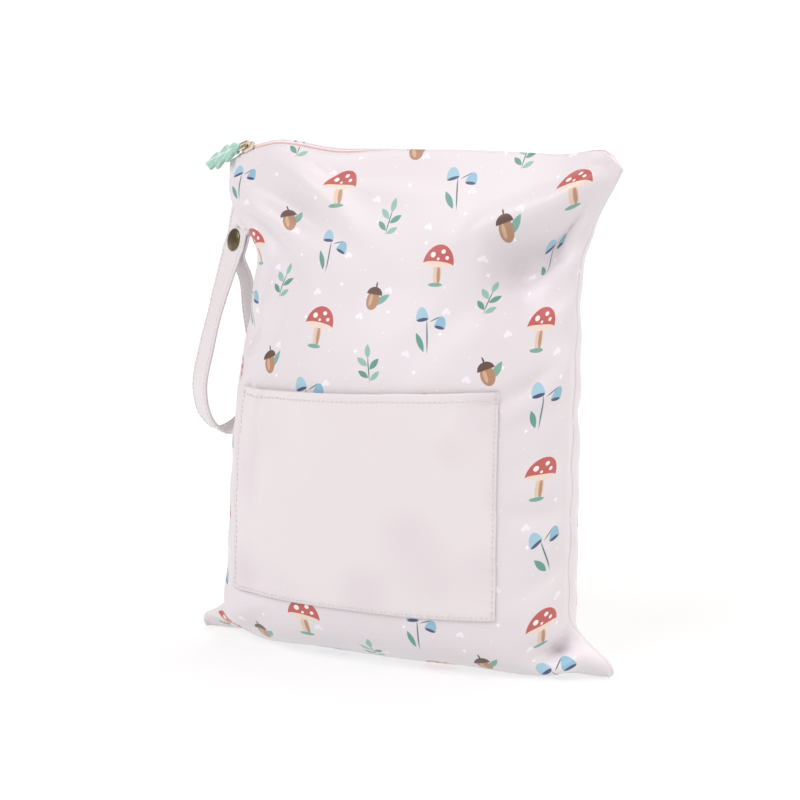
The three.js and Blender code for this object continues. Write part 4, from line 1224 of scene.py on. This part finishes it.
left, right = POCKET_LEFT + SEAM_INSET, POCKET_RIGHT - SEAM_INSET
bottom = POCKET_BOTTOM + SEAM_INSET
share = np.linspace(0, 1, SEAM_SAMPLES)
level_x = left + (right - left) * share
seam_lines = [
    pocket_line(level_x, pocket_top(level_x) - HEM_SEAM),
    pocket_line(level_x, np.full(SEAM_SAMPLES, bottom)),
]
for edge in (left, right):
    seam_z = bottom + (pocket_top(edge) - bottom) * share
    seam_lines.append(pocket_line(np.full(SEAM_SAMPLES, edge), seam_z))
seam_half = np.interp(STRAP_SEAM_SHARE, STRAP_SECTION["across"], STRAP_SECTION["half"])
for edge in (-1, 1):
    for face in (-1, 1):
        line = strap_at + edge * STRAP_SEAM_SHARE * STRAP_WIDTH / 2 * strap_beside
        seam_lines.append((line + face * (seam_half + STITCH_SIZE[2] / 4) * strap_above, strap_beside))
stitches = pieces_along("stitches", seam_lines, STITCH_SPACING, STITCH_SIZE, thread)
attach(stitches, "bag")

# %% [markdown]
# The zip shows only as a narrow pinkish strip between the two top edges: a woven tape with a
# spiral coil along its middle. The tape is a thin grid along the zip's line, and the coil is a row
# of small nylon loops set across it by the same node tree as the stitches.

# %% Zip tape and coil
TAPE_HALF_WIDTH = 1.9
TAPE_END = 0.99
TAPE_EDGE_GAP = 0.25
TAPE_BOTTOM = -0.6
TAPE_STEPS = 220
TAPE_COLUMNS = 6
COIL_SPACING = 1.2
COIL_SIZE = (0.9, 2.2, 1.1)
COIL_HEIGHT = 0.15
ZIP_TANGENT_STEP = 0.01


def zip_frames(across):
    """The zip's places and its directions along, across and out of its face."""
    along = unit(zip_points(across + ZIP_TANGENT_STEP) - zip_points(across - ZIP_TANGENT_STEP))
    beside = zip_across(across)
    beside = unit(beside - (beside * along).sum(-1, keepdims=True) * along)
    return zip_points(across), along, beside, np.cross(along, beside)


# Woven polyester tape: matt, with the same weave as the cloth.
zip_cloth = plain_finish("woven_zip_tape", ("#ecdfe0", "#e4d4d5"), 0.7)

# Nylon coil: a smooth drawn filament with a soft highlight.
nylon, _, shader, _ = mottled("nylon_coil", "#e2cfcd", "#d6bfbc", 4)
shader.inputs["Roughness"].default_value = 0.35

tape_across = np.linspace(-TAPE_END, TAPE_END, TAPE_STEPS + 1)
zip_at, _, zip_beside, zip_above = zip_frames(tape_across)
tape_half = np.minimum(TAPE_HALF_WIDTH, zip_half_gap(tape_across) - TAPE_EDGE_GAP)
offsets = np.linspace(-1, 1, TAPE_COLUMNS + 1)[:, None] * tape_half
tape_grid = zip_at + TAPE_BOTTOM * zip_above + offsets[..., None] * zip_beside
tape_flat = np.stack([np.tile(run_along(zip_at), (TAPE_COLUMNS + 1, 1)), offsets + TAPE_HALF_WIDTH], -1)
tape = cloth_piece("zip_tape_cloth", tape_grid, tape_flat, zip_cloth, FRONT, -TAPE_BOTTOM)
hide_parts("zip_tape")
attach(tape, "bag")
toothed = np.abs(tape_across) <= ZIP_END
coil_line = (zip_at + COIL_HEIGHT * zip_above)[toothed]
coil = pieces_along("zip_coil", [(coil_line, zip_beside[toothed])], COIL_SPACING, COIL_SIZE, nylon)
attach(coil, "bag")

# %% [markdown]
# The small metal pieces are cast and plated. A slider or a tab is an outline with rounded edges,
# so each is a flat curve with an extrusion and a bevel, turned into a mesh and set on the zip's own
# frame. The press fastener is turned on a lathe, so it is a profile spun round its axis.

# %% Metal plates
def handled_metal(name, light, deep, patch, detail, roughness):
    """A metal in two tones, whose roughness goes with the tone from one value to the other."""
    material, tree, shader, patches = mottled(name, light, deep, patch, detail)
    gloss = add_node(tree, "ShaderNodeMapRange",
                     {"Value": patches, "To Min": roughness[0], "To Max": roughness[1]})
    tree.links.new(gloss.outputs[0], shader.inputs["Roughness"])
    shader.inputs["Metallic"].default_value = 1.0
    return material


# Plated zinc casting: a pale warm metal, polished, with faint uneven gloss from handling.
plated_zinc = handled_metal("plated_zinc", "#e9e0cf", "#d5c9b2", 3, 4.0, (0.18, 0.38))


def plate_mesh(outlines, thickness, bevel):
    """A flat plate with rounded edges from an outline and its holes, in millimetres."""
    curve = bpy.data.curves.new("plate", "CURVE")
    curve.dimensions = "2D"
    curve.fill_mode = "BOTH"
    curve.extrude = thickness / 2 - bevel
    curve.bevel_depth = bevel
    curve.bevel_resolution = 2
    curve.offset = -bevel
    for outline in outlines:
        spline = curve.splines.new("POLY")
        spline.points.add(len(outline) - 1)
        spline.use_cyclic_u = True
        for point, (x, y) in zip(spline.points, outline):
            point.co = (x, y, 0, 1)
    holder = add_object("plate", curve)
    mesh = bpy.data.meshes.new_from_object(holder.evaluated_get(bpy.context.evaluated_depsgraph_get()))
    points = np.array([v.co for v in mesh.vertices])
    faces = [tuple(p.vertices) for p in mesh.polygons]
    bpy.data.objects.remove(holder)
    return points, faces


print("finish", plated_zinc.name)

# %% Slider
SLIDER_AT = -0.87
SLIDER_LENGTH = 9
SLIDER_NOSE_WIDTH = 5.2
SLIDER_WIDTH = 7.4
SLIDER_TAIL_WIDTH = 5.3
SLIDER_SHOULDER = 1.8
SLIDER_FLOOR = 0.9
SLIDER_HEIGHT = 2.6
BRIDGE_SPAN = 7.4
BRIDGE_RISE = 3.5
BRIDGE_WALL = 1.2
BRIDGE_WIDTH = 2.2
BRIDGE_CORNER = 0.7
BRIDGE_SINK = 0.4
METAL_BEVEL = 0.3


def joined(*meshes):
    """Several lists of points and faces as one."""
    faces, start = [], 0
    for points, own_faces in meshes:
        faces += [tuple(i + start for i in face) for face in own_faces]
        start += len(points)
    return np.concatenate([points for points, own_faces in meshes]), faces


slider_frame = [part[0] for part in zip_frames(np.array([SLIDER_AT]))]


def on_slider(points):
    """Places given on the slider's own frame, in millimetres."""
    at, along, beside, above = slider_frame
    return at + points @ np.stack([along, beside, above])


half_length = SLIDER_LENGTH / 2
lower_edge = [(-half_length, -SLIDER_NOSE_WIDTH / 2), (-SLIDER_SHOULDER, -SLIDER_WIDTH / 2),
              (half_length, -SLIDER_TAIL_WIDTH / 2)]
block_outline = lower_edge + [(x, -y) for x, y in reversed(lower_edge)]
block_points, block_faces = plate_mesh([block_outline], SLIDER_HEIGHT, METAL_BEVEL * 2)
block_points[:, 2] += SLIDER_FLOOR + SLIDER_HEIGHT / 2
top = SLIDER_FLOOR + SLIDER_HEIGHT
foot, ridge, span = top - BRIDGE_SINK, top + BRIDGE_RISE, BRIDGE_SPAN / 2
bridge_outline = [
    (-span, foot), (-span + BRIDGE_WALL, foot), (-span + BRIDGE_WALL, ridge - BRIDGE_WALL),
    (span - BRIDGE_WALL, ridge - BRIDGE_WALL), (span - BRIDGE_WALL, foot), (span, foot),
    (span, ridge - BRIDGE_CORNER), (span - BRIDGE_CORNER, ridge),
    (-span + BRIDGE_CORNER, ridge), (-span, ridge - BRIDGE_CORNER),
]
bridge_points, bridge_faces = plate_mesh([bridge_outline], BRIDGE_WIDTH, METAL_BEVEL)
bridge_points = bridge_points[:, [0, 2, 1]] * np.array([1, -1, 1])
slider_points, slider_faces = joined((block_points, block_faces), (bridge_points, bridge_faces))
slider = new_piece("slider_body", on_slider(slider_points) * MM, slider_faces, plated_zinc, smooth=False)
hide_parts("zip_slider")
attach(slider, "bag")
print("slider faces", len(slider_faces))

# %% Tab
TAB_WIDTH = 5.6
TAB_WALL = 1.2
TAB_SLOT_LENGTH = 4.2
TAB_SLOT_WIDTH = 3.0
TAB_LENGTH = 13
PULL_DROOP = math.radians(3)


def rectangle(start, end, width):
    """A rectangle's corners, from one end to the other along X."""
    return [(start, -width / 2), (end, -width / 2), (end, width / 2), (start, width / 2)]


def on_pull(points):
    """Places given on the pull, which turns under the slider's bridge and droops a little."""
    cos, sin = math.cos(-PULL_DROOP), math.sin(-PULL_DROOP)
    turn = np.array([[cos, 0, -sin], [0, 1, 0], [sin, 0, cos]])
    height = SLIDER_FLOOR + SLIDER_HEIGHT + (BRIDGE_RISE - BRIDGE_WALL) / 2
    return on_slider(points @ turn + np.array([0, 0, height]))


bar = TAB_WALL / 2
tab_points, tab_faces = plate_mesh(
    [rectangle(bar - TAB_LENGTH, bar, TAB_WIDTH), rectangle(-bar - TAB_SLOT_LENGTH, -bar, TAB_SLOT_WIDTH)],
    TAB_WALL, METAL_BEVEL)
tab = new_piece("tab_plate", on_pull(tab_points) * MM, tab_faces, plated_zinc, smooth=False)
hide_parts("pull_tab")
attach(tab, "pull")
print("tab faces", len(tab_faces))

# %% [markdown]
# The soft pull is moulded in mint-coloured plastic. It is a plain oak leaf: a row of rounded
# sections whose half width follows the lobes, closed at the tip, with a raised midrib and side
# veins pressed into the mould. The relief is kept as an attribute, so that the veins can be paler.

# %% Soft moulded plastic
MINT_GRAIN = 0.8 * MM

# Soft moulded PVC: matt and finely grained, in one even colour, paler on the raised veins.
soft_mint, tree, shader = new_material("soft_moulded_mint")
vein = add_node(tree, "ShaderNodeAttribute", attribute_name="vein").outputs["Fac"]
mix = add_node(tree, "ShaderNodeMix", {"Factor": vein, "A": linear("#9fc6b7"), "B": linear("#d3e6de")},
               data_type="RGBA")
own_place = add_node(tree, "ShaderNodeTexCoord").outputs["Object"]
grain = add_node(tree, "ShaderNodeTexNoise", {"Vector": own_place, "Scale": 1 / MINT_GRAIN})
bump = add_node(tree, "ShaderNodeBump", {"Height": grain, "Strength": 0.08, "Distance": 0.1 * MM})
tree.links.new(mix.outputs["Result"], shader.inputs["Base Color"])
tree.links.new(bump.outputs[0], shader.inputs["Normal"])
shader.inputs["Roughness"].default_value = 0.5
print("finish", soft_mint.name)

# %% Leaf pull
TAB_INSIDE = 5
LEAF_LENGTH = 33
LEAF_HALF_WIDTH = 11
LEAF_WIDEST_POWER = 0.9
LEAF_FULLNESS = 0.75
LEAF_WALL = 4
LEAF_LOBES = 3.5
LEAF_LOBE_START = 0.25
LEAF_LOBE_DEPTH = 0.24
LEAF_NECK = 4.6
LEAF_NECK_REACH = 0.22
LEAF_STEPS = 120
LEAF_RING = 48
LEAF_ROUNDING = 2.8
LEAF_TIP = 0.02
VEIN_HEIGHT = 0.45
VEIN_WIDTH = 0.7
VEIN_SLOPE = 0.9
VEIN_EDGE = (0.86, 0.99)
VEIN_SIDE_FADE = (1, 0.7)
VEIN_NECK_FADE = (0.1, 0.2)
VEIN_TIP_FADE = (1.0, 0.86)


def leaf_half_width(t):
    """The leaf's half width along its length, with rounded lobes and a square neck."""
    lobe = 1 - LEAF_LOBE_DEPTH * (1 - np.cos(2 * math.pi * (LEAF_LOBES * t + LEAF_LOBE_START)))
    full = LEAF_HALF_WIDTH * np.sin(math.pi * t ** LEAF_WIDEST_POWER) ** LEAF_FULLNESS * lobe
    return np.maximum(full, LEAF_NECK * (1 - ease(0, LEAF_NECK_REACH, t)))


neck_at = TAB_LENGTH - TAB_WALL / 2 - TAB_INSIDE
t = np.linspace(0, 1, LEAF_STEPS + 1)[:, None]
angle = np.linspace(0, 2 * math.pi, LEAF_RING, endpoint=False)[None, :]
cos, sin = np.cos(angle), np.sin(angle)
wide = np.sign(cos) * np.abs(cos) ** (2 / LEAF_ROUNDING)
high = np.sign(sin) * np.abs(sin) ** (2 / LEAF_ROUNDING)
half_width = np.maximum(leaf_half_width(t), LEAF_TIP)
thin = np.minimum(1, half_width / (LEAF_WALL / 2)) ** 0.5
leaf_x = -neck_at - LEAF_LENGTH * t + 0 * angle
leaf_y = half_width * wide
vein_run = LEAF_LOBES * (t - VEIN_SLOPE * np.abs(leaf_y) / LEAF_LENGTH) + LEAF_LOBE_START
side_vein = ease(*VEIN_EDGE, np.cos(2 * math.pi * vein_run)) * ease(*VEIN_SIDE_FADE, np.abs(wide))
midrib = np.exp(-(leaf_y / VEIN_WIDTH) ** 2)
vein_mask = np.maximum(midrib, side_vein) * ease(*VEIN_NECK_FADE, t) * ease(*VEIN_TIP_FADE, t)
leaf_z = (LEAF_WALL / 2 * thin) * high + np.sign(high) * VEIN_HEIGHT * vein_mask * np.abs(high)
leaf_points = np.stack([leaf_x, leaf_y, leaf_z], -1).reshape(-1, 3)
leaf_faces = tube_faces(LEAF_STEPS + 1, LEAF_RING)[:, [0, 3, 2, 1]].tolist()
leaf_faces.append(list(range(LEAF_RING)))
leaf_faces.append(list(range(LEAF_STEPS * LEAF_RING, (LEAF_STEPS + 1) * LEAF_RING))[::-1])
leaf = new_piece("leaf_pull", on_pull(leaf_points) * MM, leaf_faces, soft_mint)
veins = leaf.data.attributes.new("vein", "FLOAT", "POINT")
veins.data.foreach_set("value", vein_mask.astype(np.float32).ravel())
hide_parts("pull_leaf")
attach(leaf, "pull")
print("leaf faces", len(leaf_faces))

# %% [markdown]
# The press fastener joins the strap's end to its root: a domed cap in front, a post through both
# layers and a flat cap behind. All three are turned on a lathe, so one profile is spun round the
# fastener's axis. The brass is darkened, with a rim and a small step that catch the light.

# %% Press fastener
SNAP_CAP_RADIUS = 7.5
SNAP_CAP_HEIGHT = 1.9
SNAP_BACK_RADIUS = 6
SNAP_BACK_HEIGHT = 1.4
SNAP_POST_RADIUS = 2
SNAP_SIDES = 64
SNAP_ROW = 3
FIT_GAP = 0.3
SNAP_CAP = table(
    "radius height",
    (0.00, 1.00), (0.20, 0.99), (0.40, 0.95), (0.58, 0.87), (0.72, 0.76), (0.80, 0.66),
    (0.84, 0.56), (0.87, 0.56), (0.92, 0.50), (0.97, 0.34), (1.00, 0.16), (1.00, 0.04), (0.98, 0.00),
)
SNAP_BACK = table(
    "radius height",
    (0.98, 0.00), (1.00, 0.10), (1.00, 0.55), (0.96, 0.85), (0.85, 1.00), (0.00, 1.00),
)

# Antique brass: dark patina with warmer metal where fingers rub it.
antique_brass = handled_metal("antique_brass", "#4d4634", "#8a7d5c", 5, 5.0, (0.45, 0.25))

snap_front = -STRAP_WALL / 2 - FIT_GAP
snap_behind = STRAP_WALL / 2 + STRAP_LAYER_GAP + STRAP_WALL + FIT_GAP
profile = [(SNAP_CAP_RADIUS * r, snap_front - SNAP_CAP_HEIGHT * h) for r, h in zip(*SNAP_CAP.values())]
profile += [(SNAP_POST_RADIUS, snap_front), (SNAP_POST_RADIUS, snap_behind)]
profile += [(SNAP_BACK_RADIUS * r, snap_behind + SNAP_BACK_HEIGHT * h) for r, h in zip(*SNAP_BACK.values())]
radius, height = np.array(profile[1:-1]).T
angle = np.linspace(0, 2 * math.pi, SNAP_SIDES, endpoint=False)
rings = np.stack([radius[:, None] * np.cos(angle), radius[:, None] * np.sin(angle),
                  height[:, None] + 0 * angle], -1)
at, along, beside, above = strap_frame(strap_rows, SNAP_ROW)
poles = np.array([[0, 0, profile[0][1]], [0, 0, profile[-1][1]]])
snap_local = np.concatenate([rings.reshape(-1, 3), poles])
snap_points = at + snap_local @ np.stack([along, np.cross(above, along), above])
snap_faces = tube_faces(len(radius), SNAP_SIDES).tolist()
first_pole = len(radius) * SNAP_SIDES
last_ring = first_pole - SNAP_SIDES
for k in range(SNAP_SIDES):
    after = (k + 1) % SNAP_SIDES
    snap_faces.append((first_pole, after, k))
    snap_faces.append((first_pole + 1, last_ring + k, last_ring + after))
snap = new_piece("press_fastener", snap_points * MM, snap_faces, antique_brass)
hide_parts("strap_snap")
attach(snap, "bag")
print("press fastener faces", len(snap_faces))

# %% [markdown]
# The finished model has to keep the size of the solid one. Both boxes, of the solid model and of
# the finished one, are written side by side, so that a swell of the cloth can be seen at once.

# %% Sizes
boxes = {"cad": cad_box, "visual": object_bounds()}
boxes = {name: [list(corner) for corner in box] for name, box in boxes.items()}
print("boxes", boxes)
